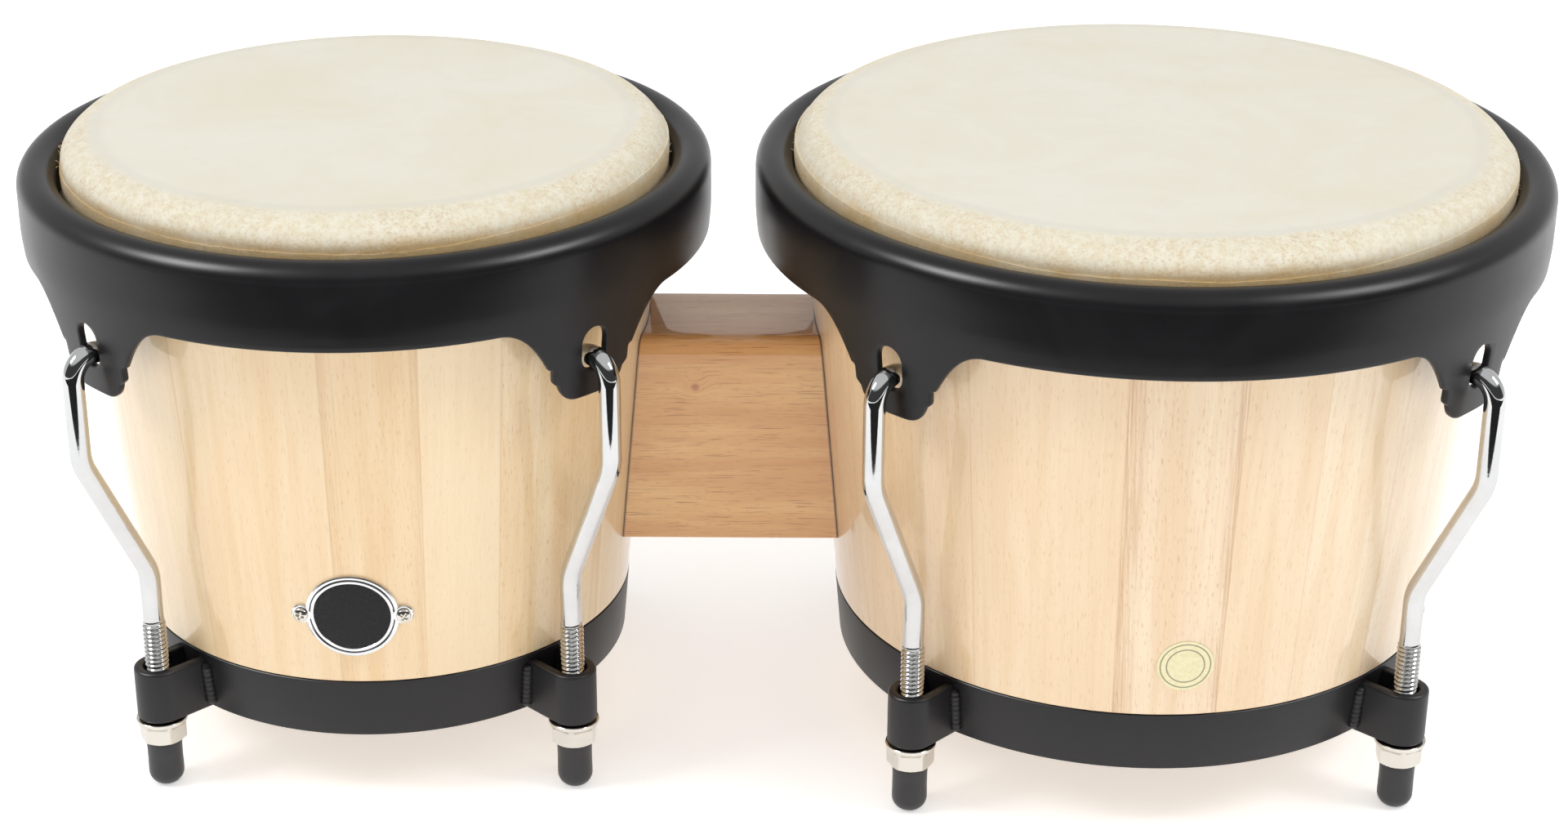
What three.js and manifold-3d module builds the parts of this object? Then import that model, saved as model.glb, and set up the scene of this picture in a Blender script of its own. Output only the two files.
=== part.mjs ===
// Bongo drums. Two staved wooden shells stand side by side on a wooden centre block, each with a
// rawhide head over a steel flesh hoop, pulled down by a curved steel rim, four hooked tuning rods
// and the lug brackets of a steel bottom ring.
//
// Millimetres, +Z up. Z = 0 is the plane under the rod caps. X runs from the small drum (macho, -X)
// to the large drum (hembra, +X), and -Y is the front, where the badge is. Radii are taken from each
// drum's own vertical axis.

import * as THREE from 'three';
import Module from 'manifold-3d';
import { mergeVertices } from 'three/addons/utils/BufferGeometryUtils.js';

// ---------------------------------------------------------------- driving dimensions

const GAP = 0.3; // clearance between pieces that touch
const ROUND_SIDES = 40; // facets round the shells, rims and rings
const EDGE_STEPS = 3; // facets over the bearing edge, the same in shell and skin

const HEAD_Z = 170.7; // playing surface
const AXIS_SPACING = 208.4; // between the two drum axes

// headSize is the nominal diameter over the flesh hoop: 6 3/4 in and 8 in.
const DRUMS = [
  { name: 'macho', side: -1, shellR: 70.1, headSize: 171.45, rimR: 91.2, rodR: 78, hookR: 95, turn: 0 },
  { name: 'hembra', side: 1, shellR: 85.2, headSize: 203.2, rimR: 105.4, rodR: 92, hookR: 109, turn: 1.4 },
];
const CENTRE_SHIFT = (DRUMS[0].rimR - DRUMS[1].rimR) / 2; // puts X = 0 midway between the outer rims

const LUGS = [
  { name: 'front_left', angle: -135 },
  { name: 'front_right', angle: -45 },
  { name: 'back_right', angle: 45 },
  { name: 'back_left', angle: 135 },
];

const SHELL = { bottomZ: 21.5, refZ: 68.3, taper: 0.0868, wall: 11, edgeR: 6, innerChamfer: 3 };
const SKIN = { thick: 1.1, brimR: 2, skirtZ: 145.2 };
const HOOP = { bottomZ: 143.4, topZ: 150.1, slack: 0.4 };
const RIM = { sheet: 2, rollR: 5.1, rollZ: 157.8, bendZ: 146.2, skirtZ: 140.8, tipZ: 118.2, taper: 0.1 };
const SLOT = { bottomZ: 125.4, topZ: 137.1, width: 7.8 };
const LUG_WIDTH = { arch: 28, neck: 14.2, ledge: 12.9, side: 12.7, notch: 10.9, flat: 4.5 };
const LUG_Z = { neck: 128.6, ledge: 128.2, side: 124.4, notch: 123 };
const LUG_CURVE = { archPull: 22, neckPull: 18, neckDrop: 5.6, tipPull: 1.4 }; // curve handles of a lug
const RING = { bottomZ: 20.7, topZ: 37.35, sheet: 1.6, proud: 0.1 };
const BRACKET = { outerR: 6.3, slotR: 3.7, topZ: 35.8, weldR: 1.6, weldOut: 0.8, weldInset: 1 };
const ROD = { shankR: 2.78, threadR: 3.175, endZ: 3.5, threadZ: 49.7, lowBendZ: 63.5, highBendZ: 100.2 };
const HOOK = { bendR: 6.2, centreZ: 122.7, sweep: 135, swayR: 14 };
const NUT = { topZ: 20.4, flangeZ: 19.2, coneZ: 18, bottomZ: 13.8, flangeR: 6.8, flats: 11.1, coneIn: 0.6 };
const CAP = { topZ: 13.4, outerR: 4.7, tipR: 1.5, lipBevel: 0.5 };
const BLOCK = { bottomZ: 54.8, topZ: 114.6, depth: 34, edgeR: 2.5 };
const BOLT = { radius: 3, holeR: 3.5, flats: 10, headLength: 4, nutLength: 5, tail: 3, heights: [71, 98] };
const WASHER = { radius: 9, holeR: 3.4, thick: 1.5, seatR: 10, seatDepth: 0.9 };
const BADGE = { angle: -90.35, z: 58.2, plateR: 12.1, earX: 13.1, earR: 2.7, thick: 0.8, standoff: 0.2 };
const BADGE_SCREW = { headR: 1.95, headHeight: 1.3, shankR: 1.1, holeR: 1.45, length: 8 };
const LABEL = { angle: -86.4, z: 52.7, radius: 7.4, thick: 0.3, standoff: 0.15 };

// ---------------------------------------------------------------- materials

function finish(color, roughness, metalness) {
  return new THREE.MeshStandardMaterial({ color, roughness, metalness });
}

const SHELL_WOOD = finish(0xe3c08c, 0.18, 0);
const BLOCK_WOOD = finish(0xcf9f66, 0.2, 0);
const BLACK_STEEL = finish(0x1c1b1c, 0.45, 0.3);
const RAWHIDE = finish(0xece0c6, 0.75, 0);
const HOOP_STEEL = finish(0x8a8c8e, 0.4, 0.9);
const CHROME = finish(0xd8dadc, 0.08, 1);
const NICKEL = finish(0xc9c0ae, 0.25, 1);
const ZINC = finish(0xa9abac, 0.4, 0.9);
const BLACK_VINYL = finish(0x222223, 0.5, 0);
const BADGE_METAL = finish(0xb9babd, 0.3, 0.9);
const LABEL_PAPER = finish(0xf2e9b4, 0.6, 0);

// ---------------------------------------------------------------- closed meshes and booleans

const wasm = await Module();
wasm.setup();

// Positions only, shared vertices merged, no collapsed triangles, and faces pointing out.
function closedGeometry(geometry) {
  const bare = geometry.clone();
  bare.deleteAttribute('normal');
  bare.deleteAttribute('uv');
  const merged = mergeVertices(bare, 1e-4);
  const index = merged.getIndex().array;
  const corner = [new THREE.Vector3(), new THREE.Vector3(), new THREE.Vector3()];
  const triangles = [];
  let volume = 0;
  for (let i = 0; i < index.length; i += 3) {
    const [a, b, c] = [index[i], index[i + 1], index[i + 2]];
    if (a === b || b === c || c === a) continue;
    triangles.push([a, b, c]);
    [a, b, c].forEach((vertex, k) => corner[k].fromBufferAttribute(merged.getAttribute('position'), vertex));
    volume += corner[0].dot(corner[1].cross(corner[2]));
  }
  merged.setIndex((volume < 0 ? triangles.map(([a, b, c]) => [a, c, b]) : triangles).flat());
  return merged;
}

function toSolid(geometry) {
  const mesh = closedGeometry(geometry);
  const vertProperties = new Float32Array(mesh.getAttribute('position').array);
  const triVerts = new Uint32Array(mesh.getIndex().array);
  return new wasm.Manifold(new wasm.Mesh({ numProp: 3, vertProperties, triVerts }));
}

function toGeometry(solid) {
  const mesh = solid.getMesh();
  const geometry = new THREE.BufferGeometry();
  geometry.setAttribute('position', new THREE.BufferAttribute(mesh.vertProperties, 3));
  geometry.setIndex(new THREE.BufferAttribute(mesh.triVerts, 1));
  return geometry;
}

function node(name, geometry, material) {
  const mesh = new THREE.Mesh(closedGeometry(geometry), material);
  mesh.geometry.computeVertexNormals();
  mesh.name = name;
  return mesh;
}

// ---------------------------------------------------------------- shape helpers

const radians = THREE.MathUtils.degToRad;
const point = (x, y) => new THREE.Vector2(x, y);

// Points of an arc about (x, y) from one angle to the other, in degrees.
function arc(x, y, radius, from, to, steps) {
  return Array.from({ length: steps + 1 }, (_, i) => {
    const angle = radians(from + ((to - from) * i) / steps);
    return point(x + radius * Math.cos(angle), y + radius * Math.sin(angle));
  });
}

// Revolves a closed (radius, z) profile about the Z axis.
function turned(profile, sides = ROUND_SIDES) {
  const loop = [...profile, profile[0].clone()];
  return new THREE.LatheGeometry(loop, sides).rotateX(Math.PI / 2);
}

// Upright cylinder or prism between two heights.
function upright(radius, bottomZ, topZ, sides) {
  const geometry = new THREE.CylinderGeometry(radius, radius, topZ - bottomZ, sides);
  return geometry.rotateX(Math.PI / 2).translate(0, 0, (bottomZ + topZ) / 2);
}

// Cylinder along X between two stations, at a height.
function lengthwise(radius, fromX, toX, z, sides) {
  const geometry = new THREE.CylinderGeometry(radius, radius, toX - fromX, sides);
  return geometry.rotateZ(-Math.PI / 2).translate((fromX + toX) / 2, 0, z);
}

// Extrudes an outline drawn in (sideways, z) radially outwards, facing the given angle.
function radialPrism(shape, fromR, toR, angle, curveSegments) {
  const options = { depth: toR - fromR, bevelEnabled: false, curveSegments };
  const geometry = new THREE.ExtrudeGeometry(shape, options);
  geometry.rotateX(Math.PI / 2).rotateZ(Math.PI / 2).translate(fromR, 0, 0);
  return geometry.rotateZ(radians(angle));
}

function disc(radius, x, y) {
  return new THREE.Shape().absarc(x, y, radius, 0, 2 * Math.PI, false);
}

const hexRadius = (flats) => flats / Math.sqrt(3);
const drumX = (drum) => (drum.side * AXIS_SPACING) / 2 + CENTRE_SHIFT;
const lugAngles = (drum) => LUGS.map((lug) => lug.angle + drum.turn);

const shellRadius = (drum, z) => drum.shellR + (z - SHELL.refZ) * SHELL.taper;

const BEARING_Z = HEAD_Z - SKIN.thick - GAP;
const SHOULDER_Z = BEARING_Z - SHELL.edgeR;
const headRadius = (drum) => shellRadius(drum, SHOULDER_Z) + GAP + SKIN.thick;

// The outside of a shell filled solid, grown by a clearance: it cuts whatever is fitted to the shell.
function shellSpace(drum, clearance) {
  const outside = [0, HEAD_Z].map((z) => point(shellRadius(drum, z) + clearance, z));
  return toSolid(turned([point(0, 0), ...outside, point(0, HEAD_Z)]));
}

// A thin band that follows the outside of a shell.
function shellBand(drum, standoff, thick, lowZ, highZ) {
  const inner = (z) => point(shellRadius(drum, z) + standoff, z);
  const outer = (z) => point(shellRadius(drum, z) + standoff + thick, z);
  return toSolid(turned([inner(lowZ), outer(lowZ), outer(highZ), inner(highZ)]));
}

// ---------------------------------------------------------------- shell, ring, hoop, skin and rim

// The foot is rebated so that the bottom ring lies flush with the wood above it.
function shellSolid(drum) {
  const innerR = (z) => shellRadius(drum, z) - SHELL.wall;
  const rebateDepth = RING.sheet + GAP - RING.proud;
  const rebateZ = RING.topZ + GAP;
  const profile = [
    point(innerR(SHELL.bottomZ), SHELL.bottomZ),
    point(shellRadius(drum, SHELL.bottomZ) - rebateDepth, SHELL.bottomZ),
    point(shellRadius(drum, rebateZ) - rebateDepth, rebateZ),
    point(shellRadius(drum, rebateZ), rebateZ),
    ...arc(shellRadius(drum, SHOULDER_Z) - SHELL.edgeR, SHOULDER_Z, SHELL.edgeR, 0, 90, EDGE_STEPS),
    point(innerR(BEARING_Z) + SHELL.innerChamfer, BEARING_Z),
    point(innerR(BEARING_Z - SHELL.innerChamfer), BEARING_Z - SHELL.innerChamfer),
  ];
  let solid = toSolid(turned(profile));
  for (const z of BOLT.heights) {
    const wallX = innerR(z);
    const hole = lengthwise(BOLT.holeR, wallX - SHELL.wall, wallX + 2 * SHELL.wall, z, 10);
    const seat = lengthwise(WASHER.seatR, wallX - SHELL.wall, wallX + WASHER.seatDepth, z, 16);
    for (const cutter of [hole, seat]) {
      const turnedCutter = drum.side < 0 ? cutter : cutter.rotateZ(Math.PI);
      solid = solid.subtract(toSolid(turnedCutter));
    }
  }
  return solid;
}

function bracketOutline(drum, radius, innerR) {
  const shape = new THREE.Shape();
  shape.moveTo(innerR, -radius);
  shape.lineTo(drum.rodR, -radius);
  shape.absarc(drum.rodR, 0, radius, -Math.PI / 2, Math.PI / 2, false);
  shape.lineTo(innerR, radius);
  shape.closePath();
  return shape;
}

function bottomRing(drum) {
  const embedR = shellRadius(drum, RING.bottomZ) - RING.sheet;
  const height = BRACKET.topZ - RING.bottomZ;
  let ring = shellBand(drum, RING.proud - RING.sheet, RING.sheet, RING.bottomZ, RING.topZ);
  const clear = shellSpace(drum, RING.proud - RING.sheet / 2);
  for (const angle of lugAngles(drum)) {
    const prism = (radius, innerR, depth, curveSegments) => {
      const options = { depth, bevelEnabled: false, curveSegments };
      const geometry = new THREE.ExtrudeGeometry(bracketOutline(drum, radius, innerR), options);
      return geometry.translate(0, 0, (RING.bottomZ + BRACKET.topZ - depth) / 2).rotateZ(radians(angle));
    };
    const strap = toSolid(prism(BRACKET.outerR, embedR, height, 6));
    let bracket = strap.subtract(toSolid(prism(BRACKET.slotR, embedR - 1, 2 * height, 4)));
    for (const side of [-1, 1]) {
      const [lowZ, highZ] = [RING.bottomZ + BRACKET.weldInset, BRACKET.topZ - BRACKET.weldInset];
      const weld = upright(BRACKET.weldR, lowZ, highZ, 6);
      weld.translate(shellRadius(drum, RING.bottomZ) + BRACKET.weldOut, side * BRACKET.outerR, 0);
      bracket = bracket.add(toSolid(weld.rotateZ(radians(angle))));
    }
    ring = ring.add(bracket.subtract(clear));
  }
  return toGeometry(ring);
}

function fleshHoop(drum) {
  const innerR = headRadius(drum) - SKIN.thick + HOOP.slack;
  const outerR = drum.headSize / 2;
  return turned([
    point(innerR, HOOP.bottomZ),
    point(outerR, HOOP.bottomZ),
    point(outerR, HOOP.topZ),
    point(innerR, HOOP.topZ),
  ]);
}

// The skin lies flat over the bearing edge, runs down the shell and laps over the flesh hoop.
function headSkin(drum) {
  const outerR = headRadius(drum);
  const innerR = outerR - SKIN.thick;
  const lapR = drum.headSize / 2 + GAP;
  const lapZ = HOOP.topZ + GAP;
  const shoulderR = SHELL.edgeR + GAP;
  const centre = innerR - shoulderR;
  const outside = [
    point(0, HEAD_Z),
    ...arc(centre, SHOULDER_Z, shoulderR + SKIN.thick, 90, 0, EDGE_STEPS),
    point(outerR, lapZ + SKIN.thick),
    ...arc(lapR + SKIN.thick - SKIN.brimR, lapZ + SKIN.thick - SKIN.brimR, SKIN.brimR, 90, 0, 1),
    point(lapR + SKIN.thick, SKIN.skirtZ),
  ];
  const inside = [
    point(lapR, SKIN.skirtZ),
    point(lapR, lapZ),
    point(innerR, lapZ),
    ...arc(centre, SHOULDER_Z, shoulderR, 0, 90, EDGE_STEPS),
    point(0, HEAD_Z - SKIN.thick),
  ];
  return turned([...outside, ...inside]);
}

// A lug's whole outline, drawn down from the arch at the left, across the tip and up to the right.
function lugOutline() {
  const { archPull, neckPull, neckDrop, tipPull } = LUG_CURVE;
  const topZ = RIM.skirtZ + 2;
  const pullZ = RIM.skirtZ - neckDrop;
  const shape = new THREE.Shape();
  shape.moveTo(-LUG_WIDTH.arch, topZ);
  shape.lineTo(-LUG_WIDTH.arch, RIM.skirtZ);
  shape.bezierCurveTo(-archPull, RIM.skirtZ, -neckPull, pullZ, -LUG_WIDTH.neck, LUG_Z.neck);
  shape.lineTo(-LUG_WIDTH.ledge, LUG_Z.ledge);
  shape.lineTo(-LUG_WIDTH.side, LUG_Z.side);
  shape.lineTo(-LUG_WIDTH.notch, LUG_Z.notch);
  shape.quadraticCurveTo(-LUG_WIDTH.notch + tipPull, RIM.tipZ, -LUG_WIDTH.flat, RIM.tipZ);
  shape.lineTo(LUG_WIDTH.flat, RIM.tipZ);
  shape.quadraticCurveTo(LUG_WIDTH.notch - tipPull, RIM.tipZ, LUG_WIDTH.notch, LUG_Z.notch);
  shape.lineTo(LUG_WIDTH.side, LUG_Z.side);
  shape.lineTo(LUG_WIDTH.ledge, LUG_Z.ledge);
  shape.lineTo(LUG_WIDTH.neck, LUG_Z.neck);
  shape.bezierCurveTo(neckPull, pullZ, archPull, RIM.skirtZ, LUG_WIDTH.arch, RIM.skirtZ);
  shape.lineTo(LUG_WIDTH.arch, topZ);
  shape.closePath();
  return shape;
}

function slotOutline() {
  const radius = SLOT.width / 2;
  const shape = new THREE.Shape();
  shape.absarc(0, SLOT.topZ - radius, radius, 0, Math.PI, false);
  shape.absarc(0, SLOT.bottomZ + radius, radius, Math.PI, 2 * Math.PI, false);
  shape.closePath();
  return shape;
}

// A bent sheet: skirt, rolled top and inner lip that presses on the hoop. The skirt is cut away
// between the four lugs, and each lug has a slot for its rod's hook.
function rim(drum) {
  const rollX = drum.rimR - RIM.rollR;
  const lipZ = HOOP.topZ + SKIN.thick + 2 * GAP;
  const lowZ = RIM.tipZ - 1;
  const lowR = drum.rimR - (RIM.bendZ - lowZ) * RIM.taper;
  const innerRollR = RIM.rollR - RIM.sheet;
  const full = toSolid(turned([
    point(lowR, lowZ),
    point(drum.rimR, RIM.bendZ),
    ...arc(rollX, RIM.rollZ, RIM.rollR, 0, 180, 5),
    point(rollX - RIM.rollR, lipZ),
    point(rollX - innerRollR, lipZ),
    ...arc(rollX, RIM.rollZ, innerRollR, 180, 0, 3),
    point(drum.rimR - RIM.sheet, RIM.bendZ),
    point(lowR - RIM.sheet, lowZ),
  ]));
  const [nearR, farR] = [drum.rimR - 15, drum.rimR + 10];
  const belowZ = lowZ - 1;
  let waste = toSolid(turned([
    point(nearR, belowZ),
    point(farR, belowZ),
    point(farR, RIM.skirtZ),
    point(nearR, RIM.skirtZ),
  ]));
  let slots = null;
  for (const angle of lugAngles(drum)) {
    waste = waste.subtract(toSolid(radialPrism(lugOutline(), nearR - 10, farR + 5, angle, 3)));
    const slot = toSolid(radialPrism(slotOutline(), nearR - 5, farR, angle, 4));
    slots = slots ? slots.add(slot) : slot;
  }
  return toGeometry(full.subtract(waste).subtract(slots));
}

// ---------------------------------------------------------------- tuning rods, nuts and caps

// A curve through stations taken one after the other, so that straight lengths need no extra steps.
class StationCurve extends THREE.Curve {
  constructor(stations) {
    super();
    this.stations = stations;
  }

  getPoint(t) {
    const place = t * (this.stations.length - 1);
    const i = Math.min(Math.floor(place), this.stations.length - 2);
    return this.stations[i].clone().lerp(this.stations[i + 1], place - i);
  }

  getPointAt(u) {
    return this.getPoint(u);
  }

  getTangentAt(u) {
    return this.getTangent(u);
  }
}

// The rod's centreline in its radial plane: straight through the bracket, swayed out past the ring,
// straight up outside the lug, and hooked inwards through the slot.
function rodStations(drum) {
  const lean = Math.atan2(drum.hookR - drum.rodR, ROD.highBendZ - ROD.lowBendZ);
  const leanDegrees = THREE.MathUtils.radToDeg(lean);
  const run = HOOK.swayR * Math.tan(lean / 2);
  const sway = [
    ...arc(drum.rodR + HOOK.swayR, ROD.lowBendZ - run, HOOK.swayR, 180, 180 - leanDegrees, 2),
    ...arc(drum.hookR - HOOK.swayR, ROD.highBendZ + run, HOOK.swayR, -leanDegrees, 0, 2),
  ];
  const hook = arc(drum.hookR - HOOK.bendR, HOOK.centreZ, HOOK.bendR, 0, HOOK.sweep, 5);
  const start = point(drum.rodR, ROD.endZ + 1);
  return [start, ...sway, ...hook].map((p) => new THREE.Vector3(p.x, 0, p.y));
}

function tuningRod(drum) {
  const path = new StationCurve(rodStations(drum));
  const options = { steps: path.stations.length - 1, extrudePath: path, curveSegments: 4 };
  const shank = new THREE.ExtrudeGeometry(disc(ROD.shankR, 0, 0), options);
  const thread = upright(ROD.threadR, ROD.endZ, ROD.threadZ, 12).translate(drum.rodR, 0, 0);
  return toGeometry(toSolid(shank).add(toSolid(thread)));
}

function tuningNut() {
  const boreR = ROD.threadR + GAP;
  const flange = turned([
    point(0, NUT.coneZ - 1),
    point(hexRadius(NUT.flats) - NUT.coneIn, NUT.coneZ - 1),
    point(NUT.flangeR, NUT.flangeZ),
    point(NUT.flangeR, NUT.topZ),
    point(0, NUT.topZ),
  ], 12);
  const hex = upright(hexRadius(NUT.flats), NUT.bottomZ, NUT.coneZ, 6);
  const bore = upright(boreR, NUT.bottomZ - 1, NUT.topZ + 1, 10);
  return toGeometry(toSolid(flange).add(toSolid(hex)).subtract(toSolid(bore)));
}

function rodCap() {
  const cavityR = ROD.threadR + GAP;
  const domeZ = CAP.outerR - CAP.tipR;
  return turned([
    point(0, 0),
    ...arc(CAP.tipR, domeZ, domeZ, -90, 0, 3),
    point(CAP.outerR, CAP.topZ - CAP.lipBevel),
    point(CAP.outerR - CAP.lipBevel, CAP.topZ),
    point(cavityR, CAP.topZ),
    point(cavityR, ROD.endZ - GAP),
    point(0, ROD.endZ - GAP),
  ], 12);
}

// ---------------------------------------------------------------- centre block and its bolts

function centreBlock() {
  const [lowX, highX] = DRUMS.map(drumX);
  const halfDepth = BLOCK.depth / 2;
  const e = BLOCK.edgeR;
  const section = new THREE.Shape();
  section.absarc(halfDepth - e, BLOCK.topZ - e, e, 0, Math.PI / 2, false);
  section.absarc(e - halfDepth, BLOCK.topZ - e, e, Math.PI / 2, Math.PI, false);
  section.absarc(e - halfDepth, BLOCK.bottomZ + e, e, Math.PI, 1.5 * Math.PI, false);
  section.absarc(halfDepth - e, BLOCK.bottomZ + e, e, 1.5 * Math.PI, 2 * Math.PI, false);
  section.closePath();
  let block = toSolid(radialPrism(section, lowX, highX, 0, 4));
  for (const drum of DRUMS) {
    block = block.subtract(shellSpace(drum, GAP).translate(drumX(drum), 0, 0));
  }
  for (const z of BOLT.heights) {
    block = block.subtract(toSolid(lengthwise(BOLT.holeR, lowX, highX, z, 10)));
  }
  return toGeometry(block);
}

// X of the spot face inside a shell's wall, at a bolt's height.
function seatX(drum, z) {
  return drumX(drum) - drum.side * (shellRadius(drum, z) - SHELL.wall + WASHER.seatDepth);
}

// A bolt lies along X, its head in the small drum and its nut in the large one, with a washer at each end.
function boltPieces(z, level) {
  const [macho, hembra] = DRUMS;
  const stack = GAP + WASHER.thick + GAP;
  const headX = seatX(macho, z) - stack;
  const nutX = seatX(hembra, z) + stack;
  const shank = lengthwise(BOLT.radius, headX - 1, nutX + BOLT.nutLength + BOLT.tail, z, 12);
  const head = lengthwise(hexRadius(BOLT.flats), headX - BOLT.headLength, headX, z, 6);
  const nut = lengthwise(hexRadius(BOLT.flats), nutX, nutX + BOLT.nutLength, z, 6);
  const nutHole = lengthwise(BOLT.radius + 2 * GAP, nutX - 1, nutX + BOLT.nutLength + 1, z, 10);
  const washers = DRUMS.map((drum) => {
    const nearX = seatX(drum, z) + drum.side * GAP;
    const farX = nearX + drum.side * WASHER.thick;
    const [low, high] = [Math.min(nearX, farX), Math.max(nearX, farX)];
    const plate = toSolid(lengthwise(WASHER.radius, low, high, z, 20));
    const hole = toSolid(lengthwise(WASHER.holeR, low - 1, high + 1, z, 12));
    return node(`${drum.name}_washer_${level}`, toGeometry(plate.subtract(hole)), ZINC);
  });
  return [
    node(`block_bolt_${level}`, toGeometry(toSolid(shank).add(toSolid(head))), ZINC),
    node(`block_nut_${level}`, toGeometry(toSolid(nut).subtract(toSolid(nutHole))), ZINC),
    ...washers,
  ];
}

// ---------------------------------------------------------------- badge and label

// Sideways places of the two badge ears.
const EARS = [
  { name: 'left', x: -BADGE.earX },
  { name: 'right', x: BADGE.earX },
];

function badgePlate(drum) {
  const [nearR, farR] = [drum.shellR - 10, drum.shellR + 10];
  const flat = (shape) => toSolid(radialPrism(shape, nearR, farR, BADGE.angle, 9));
  let outline = flat(disc(BADGE.plateR, 0, BADGE.z));
  for (const ear of EARS) {
    outline = outline.add(flat(disc(BADGE.earR, ear.x, BADGE.z)));
    outline = outline.subtract(flat(disc(BADGE_SCREW.holeR, ear.x, BADGE.z)));
  }
  const band = shellBand(drum, BADGE.standoff, BADGE.thick, BADGE.z - 20, BADGE.z + 20);
  return toGeometry(band.intersect(outline));
}

// A round-head screw, head up, with its head's underside at Z = 0.
function badgeScrew() {
  const { headR, headHeight, shankR, length } = BADGE_SCREW;
  return turned([
    point(0, -length),
    point(shankR, 1.5 - length),
    point(shankR, 0),
    point(headR, 0),
    point(headR, 0.3 * headHeight),
    point(0.75 * headR, 0.8 * headHeight),
    point(0, headHeight),
  ], 12);
}

// Stands a screw on the shell at a badge ear, square to the wall there.
function placeScrew(drum, ear) {
  const surfaceR = shellRadius(drum, BADGE.z);
  const around = Math.asin(ear.x / surfaceR);
  const seat = surfaceR + BADGE.standoff + BADGE.thick + GAP;
  const geometry = badgeScrew().rotateY(Math.PI / 2).translate(seat, 0, BADGE.z);
  return geometry.rotateZ(radians(BADGE.angle) + around);
}

function screwHole(drum, ear) {
  const surfaceR = shellRadius(drum, BADGE.z);
  const around = Math.asin(ear.x / surfaceR);
  const hole = lengthwise(BADGE_SCREW.holeR, surfaceR - SHELL.wall + 2, surfaceR + 2, BADGE.z, 12);
  return toSolid(hole.rotateZ(radians(BADGE.angle) + around));
}

function roundLabel(drum) {
  const [nearR, farR] = [drum.shellR - 10, drum.shellR + 10];
  const outline = radialPrism(disc(LABEL.radius, 0, LABEL.z), nearR, farR, LABEL.angle, 16);
  const band = shellBand(drum, LABEL.standoff, LABEL.thick, LABEL.z - 12, LABEL.z + 12);
  return toGeometry(band.intersect(toSolid(outline)));
}

// ---------------------------------------------------------------- assembly

function tuningSet(drum, lug) {
  const set = new THREE.Group();
  set.rotation.z = radians(lug.angle + drum.turn);
  const nut = node(`${drum.name}_nut_${lug.name}`, tuningNut(), NICKEL);
  const cap = node(`${drum.name}_cap_${lug.name}`, rodCap(), BLACK_VINYL);
  nut.position.x = drum.rodR;
  cap.position.x = drum.rodR;
  set.add(node(`${drum.name}_rod_${lug.name}`, tuningRod(drum), CHROME), nut, cap);
  return set;
}

function drumGroup(drum) {
  const group = new THREE.Group();
  group.position.x = drumX(drum);
  let shell = shellSolid(drum);
  if (drum.name === 'macho') {
    for (const ear of EARS) shell = shell.subtract(screwHole(drum, ear));
  }
  group.add(
    node(`${drum.name}_shell`, toGeometry(shell), SHELL_WOOD),
    node(`${drum.name}_bottom_ring`, bottomRing(drum), BLACK_STEEL),
    node(`${drum.name}_flesh_hoop`, fleshHoop(drum), HOOP_STEEL),
    node(`${drum.name}_head_skin`, headSkin(drum), RAWHIDE),
    node(`${drum.name}_rim`, rim(drum), BLACK_STEEL),
    ...LUGS.map((lug) => tuningSet(drum, lug)),
  );
  return group;
}

const [machoDrum, hembraDrum] = DRUMS;
const macho = drumGroup(machoDrum);
macho.add(node('badge_plate', badgePlate(machoDrum), BADGE_METAL));
for (const ear of EARS) {
  macho.add(node(`badge_screw_${ear.name}`, placeScrew(machoDrum, ear), NICKEL));
}
const hembra = drumGroup(hembraDrum);
hembra.add(node('round_label', roundLabel(hembraDrum), LABEL_PAPER));

const bongos = new THREE.Group();
bongos.add(
  macho,
  hembra,
  node('centre_block', centreBlock(), BLOCK_WOOD),
  ...boltPieces(BOLT.heights[0], 'lower'),
  ...boltPieces(BOLT.heights[1], 'upper'),
);

export default bongos;
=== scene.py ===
"""Bongo drums: the looks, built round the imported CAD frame. The drums' lengths are millimetres, and
make() turns them into metres. Radii are taken from each drum's own vertical axis. Shaders read metres
and work out grain in millimetres. The studio at the end is in metres."""

import math
import random
from math import atan2, cos, pi, radians, sin, sqrt, tan

import bmesh
import bpy
from mathutils import Matrix, Vector, noise


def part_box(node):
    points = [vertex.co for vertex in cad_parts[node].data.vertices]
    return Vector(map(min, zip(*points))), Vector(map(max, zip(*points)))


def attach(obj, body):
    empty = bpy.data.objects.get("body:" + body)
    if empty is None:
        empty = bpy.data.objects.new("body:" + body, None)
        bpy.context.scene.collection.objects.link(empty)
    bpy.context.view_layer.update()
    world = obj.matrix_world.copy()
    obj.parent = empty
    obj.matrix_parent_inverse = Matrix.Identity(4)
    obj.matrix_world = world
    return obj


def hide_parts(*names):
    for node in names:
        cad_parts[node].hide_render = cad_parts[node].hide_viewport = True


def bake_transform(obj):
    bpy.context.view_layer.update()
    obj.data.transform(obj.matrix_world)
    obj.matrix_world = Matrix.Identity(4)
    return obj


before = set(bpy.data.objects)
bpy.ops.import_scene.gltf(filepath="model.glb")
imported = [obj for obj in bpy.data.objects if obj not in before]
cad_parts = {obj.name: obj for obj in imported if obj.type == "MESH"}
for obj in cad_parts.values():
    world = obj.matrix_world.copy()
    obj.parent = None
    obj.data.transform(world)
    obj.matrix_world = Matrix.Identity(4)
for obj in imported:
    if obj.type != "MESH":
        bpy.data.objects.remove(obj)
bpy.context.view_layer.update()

MM = 0.001
PER_MM = 1000.0
ROOT = "shell_frame"


def span(node, axis):
    """Lowest and highest coordinate of a CAD node along an axis, in mm."""
    low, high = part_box(node)
    return low[axis] / MM, high[axis] / MM


def middle(node, axis):
    return sum(span(node, axis)) / 2


# ---- sizes of the drums

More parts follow.
